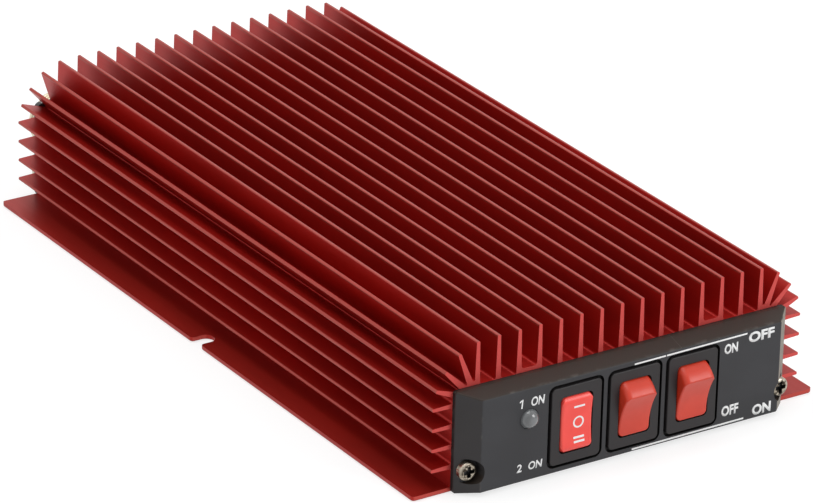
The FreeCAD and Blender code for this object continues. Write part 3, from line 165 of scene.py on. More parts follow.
# %% The finish class
class Finish:
    """A material that is built up around one Principled shader."""

    def __init__(self, name, **shader):
        self.material = bpy.data.materials.new(name)
        self.material.use_nodes = True
        self.tree = self.material.node_tree
        self.shader = self.tree.nodes["Principled BSDF"]
        self.feed(**shader)
        self.place = self.node("ShaderNodeTexCoord", {}, pick="Object")

    def node(self, kind, settings, *values, pick=None):
        """A new node as a Socket: settings, then its sockets in order; None is left alone."""
        made = self.tree.nodes.new(kind)
        for key, value in settings.items():
            setattr(made, key, value)
        for socket, value in zip([s for s in made.inputs if s.enabled], values):
            if isinstance(value, Socket):
                self.tree.links.new(value.output, socket)
            elif value is not None:
                socket.default_value = (*value, 1) if socket.type == "RGBA" else value
        shown = [s for s in made.outputs if s.enabled]
        return Socket(self, next(s for s in shown if pick in (None, s.name)))

    def feed(self, **inputs):
        """Numbers, colours or Sockets for the shader: Base_Color means its Base Color."""
        for key, value in inputs.items():
            socket = self.shader.inputs[key.replace("_", " ")]
            if isinstance(value, Socket):
                self.tree.links.new(value.output, socket)
            else:
                socket.default_value = (*value, 1) if isinstance(value, tuple) else value
        return self

    def parts_of(self, vector):
        """The X, Y and Z of a vector, as three Sockets."""
        split = self.node("ShaderNodeSeparateXYZ", {}, vector).output.node
        return [Socket(self, output) for output in split.outputs]

    def axes(self):
        """The point's own X, Y and Z in millimetres."""
        return self.parts_of(self.node("ShaderNodeVectorMath", {"operation": "SCALE"},
                                       self.place, 1 / MM))

    def facing(self):
        """The X, Y and Z parts of the direction in which the surface faces, from -1 to 1."""
        return self.parts_of(self.node("ShaderNodeTexCoord", {}, pick="Normal"))

    def stretched(self, size):
        """Object coordinates divided by a grain size in millimetres, one for each axis."""
        lengths = size if isinstance(size, tuple) else (size,) * 3
        scale = tuple(1 / (MM * length) for length in lengths)
        return self.node("ShaderNodeVectorMath", {"operation": "MULTIPLY"}, self.place, scale)

    def noise(self, size, detail):
        """Cloudy noise from 0 to 1 whose grain has that size in millimetres."""
        return self.node("ShaderNodeTexNoise", {}, self.stretched(size), 1.0, detail)

    def specks(self, size, radius, share):
        """1 inside a share of round specks, one for each cell of that size in millimetres."""
        far = self.node("ShaderNodeTexVoronoi", {}, self.stretched(size), 1.0)
        draw = Socket(self, far.output.node.outputs["Color"])
        chosen = self.node("ShaderNodeSeparateColor", {}, draw)
        inside = far.step(radius / size, 0.6 * radius / size)
        return inside * chosen.step(1 - share, 1.01 - share)

    def mixed(self, low, high, factor):
        """A colour between low, at factor 0, and high, at factor 1."""
        return self.node("ShaderNodeMix", {"data_type": "RGBA"}, factor, low, high)

    def bumps(self, height, depth):
        """A Bump node for a height from 0 to 1, whose full height is depth millimetres."""
        return self.node("ShaderNodeBump", {}, 1.0, depth * MM, None, height)


print("one class for sockets and one for finishes")

# %% [markdown]
# ## Meshes from grids of points
#
# Every added piece is a surface over two numbers, such as the place along a path and the place
# round it. Its points make a grid, worked out as one array, and the quads between them follow
# from the grid's own numbering. The same helper makes a floor, a line of ink and a thread.

# %% Mesh from a grid
def grid_mesh(name, points, closed=(False, False)):
    """A mesh of quads over a grid of points in millimetres: rows, columns, then X, Y and Z.

    Quad (i, j) joins points (i, j), (i, j+1), (i+1, j+1) and (i+1, j); a closed direction also
    joins its last line of points to its first.
    """
    rows, columns = points.shape[:2]
    number = np.arange(rows * columns).reshape(rows, columns)
    if closed[0]:
        number = np.vstack([number, number[:1]])
    if closed[1]:
        number = np.hstack([number, number[:, :1]])
    quads = np.stack([number[:-1, :-1], number[:-1, 1:], number[1:, 1:], number[1:, :-1]], -1)
    mesh = bpy.data.meshes.new(name)
    mesh.from_pydata((points.reshape(-1, 3) * MM).tolist(), [], quads.reshape(-1, 4).tolist())
    mesh.update()
    return mesh


def placed(mesh):
    """An object for a mesh whose place is already in its points."""
    made = bpy.data.objects.new(mesh.name, mesh)
    bpy.context.scene.collection.objects.link(made)
    return made


print("quads in a grid of 3 by 4 points:", (3 - 1) * (4 - 1))

# %% [markdown]
# ## A white floor
#
# A small object for a catalogue stands on a white sweep. The floor is a diffuse white that
# keeps the object's shadow. What the camera sees of it is mixed with a plain white, through
# Light Path's Is Camera Ray, so that the ground comes out white without more light on the
# object. Reflections see the same white.

# %% White floor
def seen_white(finish, lit, share, white):
    """The lit shader, mixed with a plain white light for rays from camera, mirror and glass."""
    path = finish.node("ShaderNodeLightPath", {}).output.node
    camera_ray, glossy, through = [Socket(finish, path.outputs[name]) for name in (
        "Is Camera Ray", "Is Glossy Ray", "Is Transmission Ray")]
    seen = camera_ray.larger(glossy).larger(through)
    glow = finish.node("ShaderNodeEmission", {}, (1, 1, 1), white)
    return finish.node("ShaderNodeMixShader", {}, seen * share, lit, glow)


floor_half, floor_drop = 3000, 0.05
glow_share, glow_level = 0.55, 1.3      # of the plain white in what the camera sees
corners = np.array([[[-1, -1, 0], [1, -1, 0]], [[-1, 1, 0], [1, 1, 0]]], float)
floor = placed(grid_mesh("floor", corners * floor_half - (0, 0, floor_drop)))
floor_white = Finish("floor_white", Base_Color=(0.8, 0.8, 0.8), Roughness=0.9)
lit = Socket(floor_white, floor_white.shader.outputs["BSDF"])
shown = seen_white(floor_white, lit, glow_share, glow_level)
surface_end = floor_white.tree.nodes["Material Output"].inputs["Surface"]
floor_white.tree.links.new(shown.output, surface_end)
floor.data.materials.append(floor_white.material)
print("floor is", 2 * floor_half * MM, "m wide")

# %% [markdown]
# ## The room and two soft boxes
#
# The world is a white room that fills the shadows at half strength, while camera and mirrors
# see it plain white. Two square area lamps are the soft boxes: the large one overhead gives the
# fins their broad shine, and the one at the front right lights the panel. The view transform
# Standard shows each colour as it was written.

# %% Room light and soft boxes
class RoomLight(Finish):
    """The world's nodes, built with the same methods."""

    def __init__(self, level):
        self.material = bpy.data.worlds.new("white_room")
        self.material.use_nodes = True
        self.tree = self.material.node_tree
        self.tree.nodes.clear()
        lit = self.node("ShaderNodeBackground", {}, (1, 1, 1), level)
        end = self.tree.nodes.new("ShaderNodeOutputWorld")
        self.tree.links.new(seen_white(self, lit, 1.0, 1.0).output, end.inputs["Surface"])


room_level = 0.5
bpy.context.scene.world = RoomLight(room_level).material


def soft_box(name, place, aim, size, power):
    """A square area lamp in metres and watts that faces a point."""
    data = bpy.data.lights.new(name, "AREA")
    data.energy, data.size = power, size
    lamp = bpy.data.objects.new(name, data)
    lamp.location = place
    lamp.rotation_mode = "QUATERNION"
    lamp.rotation_quaternion = (Vector(aim) - Vector(place)).to_track_quat("-Z", "Y")
    bpy.context.scene.collection.objects.link(lamp)


case_middle = (0, 0, 0.02)
soft_box("box_overhead", (-0.1, 0.1, 1.1), case_middle, 0.9, 6.0)
soft_box("box_front_right", (0.7, -1.0, 0.7), case_middle, 0.6, 6.2)
scene = bpy.context.scene
scene.view_settings.view_transform = "Standard"

# %% [markdown]
# ## Red anodised aluminium
#
# The case is one aluminium extrusion: hot metal is pushed through a steel die, cut to length
# with a saw and dyed red in the anodising bath. The dye lies in a clear layer over metal, so
# the shader is partly metallic, with a red colour. Light that is thrown between two fins passes
# the dye several times and turns a very dark red. The cut ends look almost pink: they are given
# a paler, pinker colour than the body, which is a painted highlight for the light they catch.
# Fine lines from the die run along the case, and saw marks cross the cut ends.
#
# Handling has thinned the dye along the edges of the fins and polished the clear layer there.
# A mask finds those edges from coordinates alone: the upright fins end at one height, the side
# fins at one distance from the middle, and the three at each corner on an arc. The base plate
# has no fins, so its share of this wear is 0.

# %% The case finish
finishes = {}
top_edge, side_edge = 36.9, 52.3              # where upright and side fins end
arc_x, arc_z, arc_radius = 31.53, 17.6, 21.9  # arc through the ends of the corner's fins
worn, pale_dust = (0.35, 0.046, 0.032), (0.8, 0.74, 0.7)
dye_cloud, saw_mark = (9, 45, 9), (2.5, 2.5, 0.09)    # grain sizes


def fin_edges(finish):
    """1 on the outer edges of the fins, with a soft border of 0.4 mm inside them.

    The distance past the edges is the largest of Z - top edge, |X| - side edge, and the
    distance from the corner's arc; the last counts only what lies beside and above its centre.
    """
    x, _, z = finish.axes()
    beside, above = [away.larger(0) for away in (abs(x) - arc_x, z - arc_z)]
    from_arc = (beside * beside + above * above) ** 0.5 - arc_radius
    return from_arc.larger(abs(x) - side_edge).larger(z - top_edge).step(-0.4, 0)


def deeper(colour, share):
    """The same hue with that share of its light."""
    return tuple(share * part for part in colour)


def anodised(name, body, cut, lines_along, polish, wear):
    """Dyed aluminium: body colour, cut ends' colour (a painted highlight), grain of its lines,
    polish and wear.
    """
    red = Finish(name, Metallic=0.6, Coat_Roughness=0.3)
    _, ends, _ = red.facing()
    # Ends that face along Y: their saw marks are real, and their paler, pinker colour is a
    # painted highlight.
    sawn_lit_ends = abs(ends).step(0.75, 0.95)
    tips = fin_edges(red) * wear
    cloud, lines, marks = [red.noise(*grain) for grain in (
        (dye_cloud, 3), (lines_along, 3), (saw_mark, 2))]
    colour = red.mixed(deeper(body, 0.82), body, cloud.step(0.3, 0.7))
    colour = red.mixed(colour, worn, tips * 0.8)
    # Painted highlight: the cut ends take the paler cut colour.
    colour = red.mixed(colour, red.mixed(deeper(cut, 0.86), cut, marks), sawn_lit_ends)
    colour = red.mixed(colour, pale_dust, red.specks(2.4, 0.16, 0.05) * sawn_lit_ends * 0.8)
    height = lines * (1 - sawn_lit_ends) + marks * sawn_lit_ends * 1.5
    return red.feed(Base_Color=colour, Roughness=0.36 + lines * 0.1 + sawn_lit_ends * 0.12,
                    Coat_Weight=0.03 + tips.larger(sawn_lit_ends) * polish,
                    Normal=red.bumps(height, 0.006))


# The second colour of each is that of the cut ends, painted paler and pinker as a painted
# highlight.
finishes["case_red"] = anodised("anodised_red", (0.47, 0.013, 0.008), (0.65, 0.071, 0.062),
                                (0.3, 80, 0.3), 0.16, 1.0)
finishes["base_red"] = anodised("painted_base_red", (0.40, 0.016, 0.009), (0.54, 0.064, 0.048),
                                (0.5, 60, 0.5), 0.05, 0.0)
print("red finishes:", [finish.material.name for finish in finishes.values()])

# %% [markdown]
# ## Black front panel
#
# The front panel is a black moulding. Its mould was spark-eroded, which leaves a fine even
# grain and a soft grey sheen. Handling wears that grain off along the edges of its face. The
# slopes round the face are painted a darker brown, most of all where they face up: that is
# painted shade. The slope at the right gets pale patches, which are dust and a painted
# highlight together. Hardly any light comes back out of the pockets round the switches or the
# seam behind the panel, so both are painted nearly black as shade. A thin flash line shows
# where two halves of the mould met. Every one of these is a mask over coordinates or over the
# direction in which the surface faces.

# %% Front panel
face_half_width, face_top, face_bottom = 42.5, 24.9, 1.1      # edges of the flat face
pocket_x, pocket_half_width = 0.3, 24.4                       # pockets of the three switches
pocket_z, pocket_half_height, pocket_y = 13, 10.9, -102.78
seam_y, seam_ends, seam_lead = -97.45, 46.7, 0.6              # seam to the case
flash_x = 13.4                                                # where the mould closed

panel = Finish("grained_black_panel", Specular_IOR_Level=0.35)
x, y, z = panel.axes()
side, ahead, up = panel.facing()
outline = (abs(x) - face_half_width).larger(z - face_top).larger(face_bottom - z)
rubbed = (1 - abs(outline).step(0.05, 0.3)) * panel.noise((3, 3, 3), 3).step(0.52, 0.7)
# Painted shade: faces that don't look straight ahead, the slopes round the face, turn a darker
# brown, most where they face up.
slope_shade = ahead.step(-0.95, -0.8) * (0.35 + up.step(0.2, 0.5) * 0.55)
# Pale patches on the slope that faces right: dust, and a painted highlight of the light from
# that side.
dust_and_highlight = side.step(0.4, 0.6) * panel.noise((1.5, 1.5, 4), 3).step(0.2, 0.5)
# Painted shade: the pockets round the switches and the seam behind the panel are set nearly
# black.
beyond_pockets = (abs(x - pocket_x).step(pocket_half_width, pocket_half_width + 0.4)).larger(
    abs(z - pocket_z).step(pocket_half_height, pocket_half_height + 0.3))
pocket = y.step(pocket_y, pocket_y + 0.08) * (1 - beyond_pockets)
seam = (y + abs(x).step(seam_ends, seam_ends + 0.25) * seam_lead).step(seam_y, seam_y + 0.2)
grain = panel.noise(0.22, 3)
smudge = panel.noise((14, 14, 9), 3)
flash = (1 - abs(x - flash_x).step(0.03, 0.12)) * up.step(0.2, 0.5)
colour = panel.mixed((0.031, 0.031, 0.034), (0.039, 0.039, 0.043), smudge.step(0.3, 0.7))
# Painted shade on the slopes.
colour = panel.mixed(colour, (0.020, 0.012, 0.007), slope_shade)
# Dust and painted highlight on the right slope.
colour = panel.mixed(colour, (0.23, 0.205, 0.17), dust_and_highlight)
colour = panel.mixed(colour, (0.12, 0.11, 0.10), rubbed * 0.3 + flash * 0.25)
# Painted shade in pockets and seam.
colour = panel.mixed(colour, (0.002, 0.002, 0.002), pocket.larger(seam))
panel.feed(Base_Color=colour, Roughness=0.52 + smudge * 0.12 - rubbed * 0.15,
           Normal=panel.bumps(grain + flash * 2, 0.02))
finishes["panel_black"] = panel
print("flat face is", 2 * face_half_width, "mm wide")

# %% [markdown]
# ## Switch bodies
#
# Bezels and housings of the switches come from a smoother mould than the panel, in a slightly
# darker plastic. So their shader is less rough, and a faint cloud is all that varies it.

# %% Switch bodies
satin = Finish("satin_black_switch", Specular_IOR_Level=0.35)
cloud = satin.noise(4, 3)
satin.feed(Base_Color=satin.mixed((0.016, 0.014, 0.015), (0.024, 0.021, 0.022), cloud),
           Roughness=0.40 + cloud * 0.12, Normal=satin.bumps(satin.noise(0.3, 2), 0.008))
finishes["switch_black"] = satin
print("switch finish:", satin.material.name)

# %% [markdown]
# ## Red rockers
#
# Rockers are moulded in coloured plastic right through, so scratches stay red. A light layer
# of finger grease varies the gloss, the red is slightly cloudy, and a few specks of dust cling
# to it. Three-way rockers are often moulded in a brighter red than two-way ones, so there are
# two finishes from one recipe.

# %% Rocker finishes
def rocker_plastic(name, deep, bright, gloss):
    """Self-coloured plastic between two reds; gloss is its lowest roughness."""
    red = Finish(name, Coat_Roughness=0.25)
    cloud, grease = red.noise(6, 3), red.noise((1.6, 1.6, 3.2), 3)
    dust = red.specks(1.7, 0.05, 0.04)
    colour = red.mixed(deep, bright, cloud.step(0.3, 0.7))
    colour = red.mixed(colour, (0.75, 0.4, 0.36), dust * 0.5)
    return red.feed(Base_Color=colour, Roughness=gloss + grease * 0.14, Coat_Weight=0.15,
                    Normal=red.bumps(red.noise(0.35, 2), 0.006))


finishes["rocker_red"] = rocker_plastic("two_way_red", (0.60, 0.034, 0.010),
                                        (0.68, 0.044, 0.016), 0.34)
three_way_red = rocker_plastic("three_way_red", (0.95, 0.062, 0.046),
                               (0.99, 0.077, 0.058), 0.30)
print("rockers in", three_way_red.material.name, "and", finishes["rocker_red"].material.name)

# %% [markdown]
# ## Bare and plated metals
#
# Plated and bare metals differ in three things only: the colour of the metal, how sharp its
# reflections are, and how blotchy age has made it. So one recipe takes those three, and a
# grain size that is long in one direction for drawn wire or turned parts.

# %% Metal recipe
def metal(name, bright, stained, sharpness, grain, coat=0.0):
    """Metal between a bright and a stained colour; sharpness is its lowest roughness."""
    made = Finish(name, Metallic=1.0, Coat_Weight=coat, Coat_Roughness=0.2)
    stain, fine = made.noise(2.2, 3), made.noise(grain, 3)
    return made.feed(Base_Color=made.mixed(stained, bright, stain.step(0.3, 0.62)),
                     Roughness=sharpness + stain * 0.12 + fine * 0.1,
                     Normal=made.bumps(fine, 0.004))


metals = {
    "screw_nickel": ("nickel_screw", (0.60, 0.55, 0.46), (0.34, 0.28, 0.20), 0.24, 0.3),
    "spring_steel": ("spring_steel", (0.56, 0.57, 0.58), (0.36, 0.35, 0.34), 0.22, 0.2),
    "brass": ("bare_brass", (0.78, 0.57, 0.24), (0.52, 0.34, 0.14), 0.24, (0.2, 1.5, 0.2)),
    "tinned": ("tinned_metal", (0.74, 0.74, 0.72), (0.50, 0.50, 0.49), 0.28, 0.4),
    "socket_nickel": ("nickel_socket", (0.80, 0.73, 0.57), (0.60, 0.52, 0.38), 0.20, 0.3),
}
for slot, recipe in metals.items():
    finishes[slot] = metal(*recipe)
finishes["copper_wire"] = metal("enamelled_copper", (0.74, 0.33, 0.15), (0.46, 0.16, 0.07),
                                0.26, 0.25, coat=0.6)
print("metals:", sorted(metals))

# %% [markdown]
# ## Tarnished front screws
#
# The two screws of the front panel are nickelled as the others are, but tarnished, most of all
# near the middle of the head, where a cloth doesn't reach. The cross in the head is deep, and
# its inside is painted near black and not metallic: painted shade. Its depth along Y and its
# distance from the screw's axis tell it from the head.

# %% Front screws
screw_x, screw_z, head_y = 44.6, 6.3, -101.1
recess_reach, head_rim = 1.5, 2.3
tarnish_brown = (0.045, 0.036, 0.026)

worn_screw = metal("worn_screw", (0.56, 0.50, 0.41), (0.30, 0.26, 0.20), 0.2, 0.3)
x, y, z = worn_screw.axes()
beside, above = abs(x) - screw_x, z - screw_z
reach = (beside * beside + above * above) ** 0.5
nickel = Socket(worn_screw, worn_screw.shader.inputs["Base Color"].links[0].from_socket)
tarnish = worn_screw.noise(0.8, 3).step(0.4, 0.56) * (1 - reach.step(1.7, head_rim) * 0.7)
within = 1 - reach.step(recess_reach, recess_reach + 0.1)
# Painted shade: the inside of the cross is set near black and not metallic.
recess_shade = y.step(head_y + 0.1, head_y + 0.25) * within
colour = worn_screw.mixed(nickel, tarnish_brown, tarnish)
worn_screw.feed(Base_Color=worn_screw.mixed(colour, (0.004, 0.004, 0.004), recess_shade),
                Metallic=1 - recess_shade)
print("screw axes at", screw_x, "mm from the middle")

# %% [markdown]
# ## Plain plastics, rubber and ceramics
#
# The parts inside the case are small and simple, yet none of them is one flat colour: moulded
# plastic is cloudy, ferrite is sintered from grains, and rubber is dusty. One recipe covers
# them, with two colours, a grain, a roughness and an optional clear varnish.

# %% Plastic and ceramic recipe
def moulded(name, low, high, rough, grain, depth=0.008, varnish=0.0):
    """A cloudy material between two colours, with fine bumps of the grain's size."""
    made = Finish(name, Coat_Weight=varnish, Coat_Roughness=0.12)
    cloud, fine = made.noise(grain * 9, 3), made.noise(grain, 3)
    blend = (cloud * 0.7 + fine * 0.3).step(0.3, 0.7)
    return made.feed(Base_Color=made.mixed(low, high, blend), Roughness=rough + fine * 0.14,
                     Normal=made.bumps(fine, depth))


plastics = {
    "header_black": ("black_header", (0.030, 0.030, 0.031), (0.045, 0.045, 0.046), 0.45, 0.3),
    "ferrite": ("sintered_ferrite", (0.05, 0.05, 0.052), (0.105, 0.103, 0.1), 0.62, 0.16, 0.03),
    "relay_shell": ("relay_cover", (0.035, 0.075, 0.24), (0.055, 0.11, 0.33), 0.30, 0.4),
    "disc_tan": ("dipped_ceramic", (0.5, 0.27, 0.09), (0.66, 0.4, 0.15), 0.4, 0.5, 0.02, 0.5),
    "pad_grey": ("silicone_pad", (0.42, 0.42, 0.43), (0.54, 0.54, 0.53), 0.72, 0.2, 0.01),
    "trimmer_blue": ("trimmer_case", (0.035, 0.11, 0.40), (0.06, 0.17, 0.52), 0.36, 0.3),
    "rotor_white": ("trimmer_rotor", (0.70, 0.69, 0.65), (0.82, 0.81, 0.78), 0.40, 0.3),
    "insulator_white": ("socket_insulator", (0.78, 0.77, 0.72), (0.87, 0.86, 0.82), 0.36, 0.4),
    "gland_black": ("black_rubber", (0.022, 0.022, 0.023), (0.04, 0.039, 0.038), 0.62, 0.25,
                    0.02),
}
for slot, recipe in plastics.items():
    finishes[slot] = moulded(*recipe)
print("plastics:", len(plastics))

# %% [markdown]
# ## Rear panel
#
# The rear panel is sheet aluminium, sprayed black. Spray leaves an orange-peel skin, and bare
# metal glints where the punch rounded the sheet's edges.

# %% Sprayed sheet
sheet_half_width, sheet_top, sheet_foot = 47.0, 26.1, 0.15

sprayed = Finish("sprayed_black_sheet")
x, _, z = sprayed.axes()
rim = (abs(x) - sheet_half_width).larger(z - sheet_top).larger(sheet_foot - z)
bare = rim.step(-0.12, 0.0) * sprayed.noise(2.0, 3).step(0.55, 0.65)
peel = sprayed.noise(0.9, 2)
cloud = sprayed.noise((12, 12, 8), 3)
colour = sprayed.mixed((0.030, 0.030, 0.031), (0.042, 0.041, 0.041), cloud)
sprayed.feed(Base_Color=sprayed.mixed(colour, (0.55, 0.54, 0.52), bare), Metallic=bare,
             Roughness=0.38 + peel * 0.12, Normal=sprayed.bumps(peel, 0.03))
finishes["rear_black"] = sprayed
print("rear panel:", sprayed.material.name)

# %% [markdown]
# ## Status lamp
#
# A light-emitting diode that is off looks like a drop of grey gel: the clear case shows the
# dark room of the panel through it, and the little cup round the chip as a paler spot. Glass
# shaders are slow and need an inside, so the depth is painted: rings about the lamp's axis
# set the colour, with the dark inside as painted shade and a paler cup and rim. The bright
# points are painted highlights, pale specks in the colour, and a clear coat adds its own shine.

# %% Lamp finish
lamp_low, lamp_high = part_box("status_lamp")
lamp_x, lamp_z = [(lamp_low[i] + lamp_high[i]) / 2 / MM for i in (0, 2)]

cup, rim = (0.5, 1.5), (1.6, 2.5)               # radii between which the rings change

lens_grey = Finish("unlit_lamp", Coat_Weight=1.0, Coat_Roughness=0.04, Roughness=0.22)
x, _, z = lens_grey.axes()
beside, above = x - lamp_x, z - lamp_z
off_axis = (beside * beside + above * above) ** 0.5
milky = lens_grey.noise(0.7, 3)
# Painted depth: a paler middle for the cup, a ring of painted shade for the dark inside, and a
# paler rim.
colour = lens_grey.mixed((0.135, 0.142, 0.148), (0.075, 0.079, 0.083), off_axis.step(*cup))
colour = lens_grey.mixed(colour, (0.16, 0.168, 0.175), off_axis.step(*rim))
colour = lens_grey.mixed(colour, (0.2, 0.2, 0.21), milky * 0.25)
# Painted highlights: pale specks stand for the bright points of light on the lens.
painted_glints = lens_grey.specks(1.3, 0.16, 0.3)
lens_grey.feed(Base_Color=lens_grey.mixed(colour, (0.75, 0.76, 0.8), painted_glints))
finishes["lamp_clear"] = lens_grey
print("lamp at", round(lamp_x, 1), round(lamp_z, 1))

# %% [markdown]
# ## Circuit boards
#
# Solder mask is a green varnish over copper, so tracks show as paler green lines, and tinned
# pads stand on a grid of a tenth of an inch. A sine of X or of Y draws parallel tracks, and
# blocky noise decides in which zones they run one way and in which the other.

# %% Printed board
pad_pitch, pad_radius, pad_share = 2.54, 0.62, 0.16

board = Finish("green_board", Coat_Weight=0.3, Coat_Roughness=0.15)
x, y, _ = board.axes()
zone = board.noise((16, 16, 400), 0).step(0.47, 0.53)
along_x, along_y = [(across * (2 * math.pi / pad_pitch)).wave().step(0.55, 0.75)
                    for across in (y, x)]
tracks = along_x * zone + along_y * (1 - zone)
pads = board.specks(pad_pitch, pad_radius, pad_share)
colour = board.mixed((0.018, 0.085, 0.035), (0.045, 0.17, 0.07), tracks)
colour = board.mixed(colour, (0.72, 0.72, 0.69), pads)
board.feed(Base_Color=colour, Metallic=pads, Roughness=0.34 + board.noise(0.4, 2) * 0.12,
           Normal=board.bumps(tracks * 0.6 + pads, 0.035))
finishes["board_green"] = board
print("pads stand", pad_pitch, "mm apart")

# %% [markdown]
# ## Resistors
#
# A resistor is a ceramic rod that was dipped in tan lacquer and ringed with colours. All of
# them lie along X at one spacing, so the distance from the nearest one's middle puts the rings
# and the bare ends on every resistor with a single material.

# %% Resistors
resistor_x, resistor_spacing, resistor_end, ring_half_width = 2, 20, 5.55, 0.36
rings = ((-3.5, (0.16, 0.06, 0.02)), (-1.9, (0.012, 0.012, 0.012)),
         (-0.3, (0.45, 0.02, 0.015)), (3.3, (0.55, 0.36, 0.10)))

ringed = Finish("ringed_resistor", Coat_Weight=0.5, Coat_Roughness=0.1)
x, _, _ = ringed.axes()
number = (x - resistor_x) / resistor_spacing
along = (number - number.rounded()) * resistor_spacing
lead = abs(along).step(resistor_end, resistor_end + 0.05)
colour = ringed.mixed((0.48, 0.38, 0.22), (0.60, 0.49, 0.31), ringed.noise(1.2, 3))
for centre, ring in rings:
    off_ring = abs(along - centre).step(ring_half_width, ring_half_width + 0.08)
    colour = ringed.mixed(colour, ring, 1 - off_ring)
ringed.feed(Base_Color=ringed.mixed(colour, (0.7, 0.7, 0.68), lead), Metallic=lead,
            Roughness=0.34 + ringed.noise(0.4, 3) * 0.12)
finishes["resistor_body"] = ringed
print("rings on each resistor:", len(rings))

# %% [markdown]
# ## Capacitors and transistors
#
# A can capacitor wears a plastic sleeve with a pale stripe beside its negative lead, and its
# lid is bare. A power transistor is black resin moulded on a metal tab. The direction in which
# the surface faces finds stripe and lid, and plain coordinates find the tab.

# %% Capacitors and transistors
sleeved = Finish("sleeved_can", Coat_Weight=0.3, Coat_Roughness=0.2)
side, _, up = sleeved.facing()
stripe, lid = side.step(0.90, 0.92), (0 - up).step(0.9, 0.95)
colour = sleeved.mixed((0.020, 0.028, 0.13), (0.035, 0.045, 0.19), sleeved.noise(3, 3))
colour = sleeved.mixed(colour, (0.62, 0.63, 0.66), stripe)
colour = sleeved.mixed(colour, (0.72, 0.72, 0.72), lid)
sleeved.feed(Base_Color=colour, Metallic=lid, Roughness=0.3 + sleeved.noise(0.5, 3) * 0.14,
             Normal=sleeved.bumps(sleeved.noise(1.1, 2), 0.01))
finishes["can_blue"] = sleeved

tab_z, tab_y = 21.16, -5.4      # over or behind these the transistor is bare metal
tabbed = Finish("tabbed_transistor")
_, y, z = tabbed.axes()
bare = z.step(tab_z, tab_z + 0.04).larger(y.step(tab_y, tab_y + 0.04))
speckle = tabbed.noise(0.35, 3)
tabbed.feed(Base_Color=tabbed.mixed((0.022, 0.022, 0.023), (0.62, 0.62, 0.60), bare),
            Metallic=bare, Roughness=0.36 + speckle * 0.16,
            Normal=tabbed.bumps(speckle, 0.012))
finishes["transistor_black"] = tabbed
print("finishes:", len(finishes))

# %% [markdown]
# ## Putting the finishes on the solids
#
# Each solid came with one material slot, named for what it is made of. The slot's name picks
# the finish. The three-way rocker and the dull front screws are the two exceptions.

# %% Give every solid its finish
for name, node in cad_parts.items():
    node.data.materials[0] = finishes[node.data.materials[0].name].material
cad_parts["preamp_rocker"].data.materials[0] = three_way_red.material
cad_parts["front_panel_screws"].data.materials[0] = worn_screw.material
print("solids with a finish:", len(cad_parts))

# %% [markdown]
# ## A printed line
#
# Screen printing lays a film of ink a hundredth of a millimetre thick. A line of it is made
# like a ribbon: the path is its centre line, two edges lie half a width to either side of the
# path, and each edge has a foot on the panel and a top above it. Going round foot, top, top
# and foot gives four columns of points, and the path's points are the rows.

# %% Ribbon of ink
film = 0.012
ink = moulded("white_ink", (0.86, 0.87, 0.87), (0.94, 0.95, 0.95), 0.45, 0.12, 0.003)


def ribbon(path, width, closed=False):
    """Grid of points for a film along a path of (X, Z) on a face that looks along -Y.

    Each row is the path's point, moved half the width across the path; the four columns are
    foot, top, top and foot, and an open ribbon gets an end row in which the tops come down.
    """
    path = np.asarray(path, float)
    ahead, behind = np.roll(path, -1, 0) - path, path - np.roll(path, 1, 0)
    if not closed:
        ahead[-1], behind[0] = behind[-1], ahead[0]
    along = sum(run / np.linalg.norm(run, axis=1, keepdims=True) for run in (ahead, behind))
    along /= np.linalg.norm(along, axis=1, keepdims=True)
    across = np.stack([-along[:, 1], along[:, 0]], 1) * width / 2
    columns = np.stack([path - across, path - across, path + across, path + across], 1)
    height = np.tile([0.0, film, film, 0.0], (len(path), 1))
    if not closed:
        columns = np.concatenate([columns[:1], columns, columns[-1:]])
        height = np.concatenate([0 * height[:1], height, 0 * height[:1]])
    return np.stack([columns[..., 0], -height, columns[..., 1]], -1)


print("ink film:", film, "mm")

# %% [markdown]
# ## Finishing a piece
#
# A grid leaves points on top of each other where it closes or where an end comes to a line, so
# points that meet are joined and flat faces dropped. Blender then turns all faces outwards, and
# shades them smooth except at edges over thirty degrees.

# %% Finish and hang a piece
meeting, vanishing = 1e-7, 1e-8            # metres
sharp_edge = math.radians(30)


def piece(name, mesh, finish, body):
    """Joins the points that meet, turns the faces outwards and hangs the piece on its body."""
    shape = bmesh.new()
    shape.from_mesh(mesh)
    bmesh.ops.remove_doubles(shape, verts=shape.verts, dist=meeting)
    bmesh.ops.dissolve_degenerate(shape, edges=shape.edges, dist=vanishing)
    bmesh.ops.recalc_face_normals(shape, faces=shape.faces)
    shape.to_mesh(mesh)
    shape.free()
    mesh.shade_smooth()
    mesh.set_sharp_from_angle(angle=sharp_edge)
    mesh.materials.append(finish.material)
    mesh.name = name
    made = placed(mesh)
    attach(made, body)
    print(name, "has", len(mesh.polygons), "faces")
    return made


print("edges stay sharp over", round(math.degrees(sharp_edge)), "degrees")

# %% [markdown]
# ## Printing on the front panel
#
# Two white lines join the switches to the legends at the right: one over the switches and one
# under them. The upper one has a nick where the ink missed, so it is made of two ribbons.

# %% Lines over and under the switches
panel_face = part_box("front_panel")[0].y / MM
lines = {
    "legend_line_over_left": ((0.0, 23.88), (8.95, 23.95), 0.40),
    "legend_line_over_right": ((9.25, 23.95), (32.5, 24.12), 0.42),
    "legend_line_under": ((0.2, 1.72), (32.6, 1.86), 0.44),
}
for name, (start, end, width) in lines.items():
    grid_points = ribbon(np.linspace(start, end, 9), width) + (0, panel_face, 0)
    piece(name, grid_mesh(name, grid_points, (False, True)), ink, "case")

# %% [markdown]
# ## Words and numbers
#
# Words are set in Blender's own plain typeface, turned into a flat mesh, fitted to the room
# that they have, and given the same film of ink by a Solidify modifier. The number 1 is a stem
# with a flag, so two ribbons draw it.

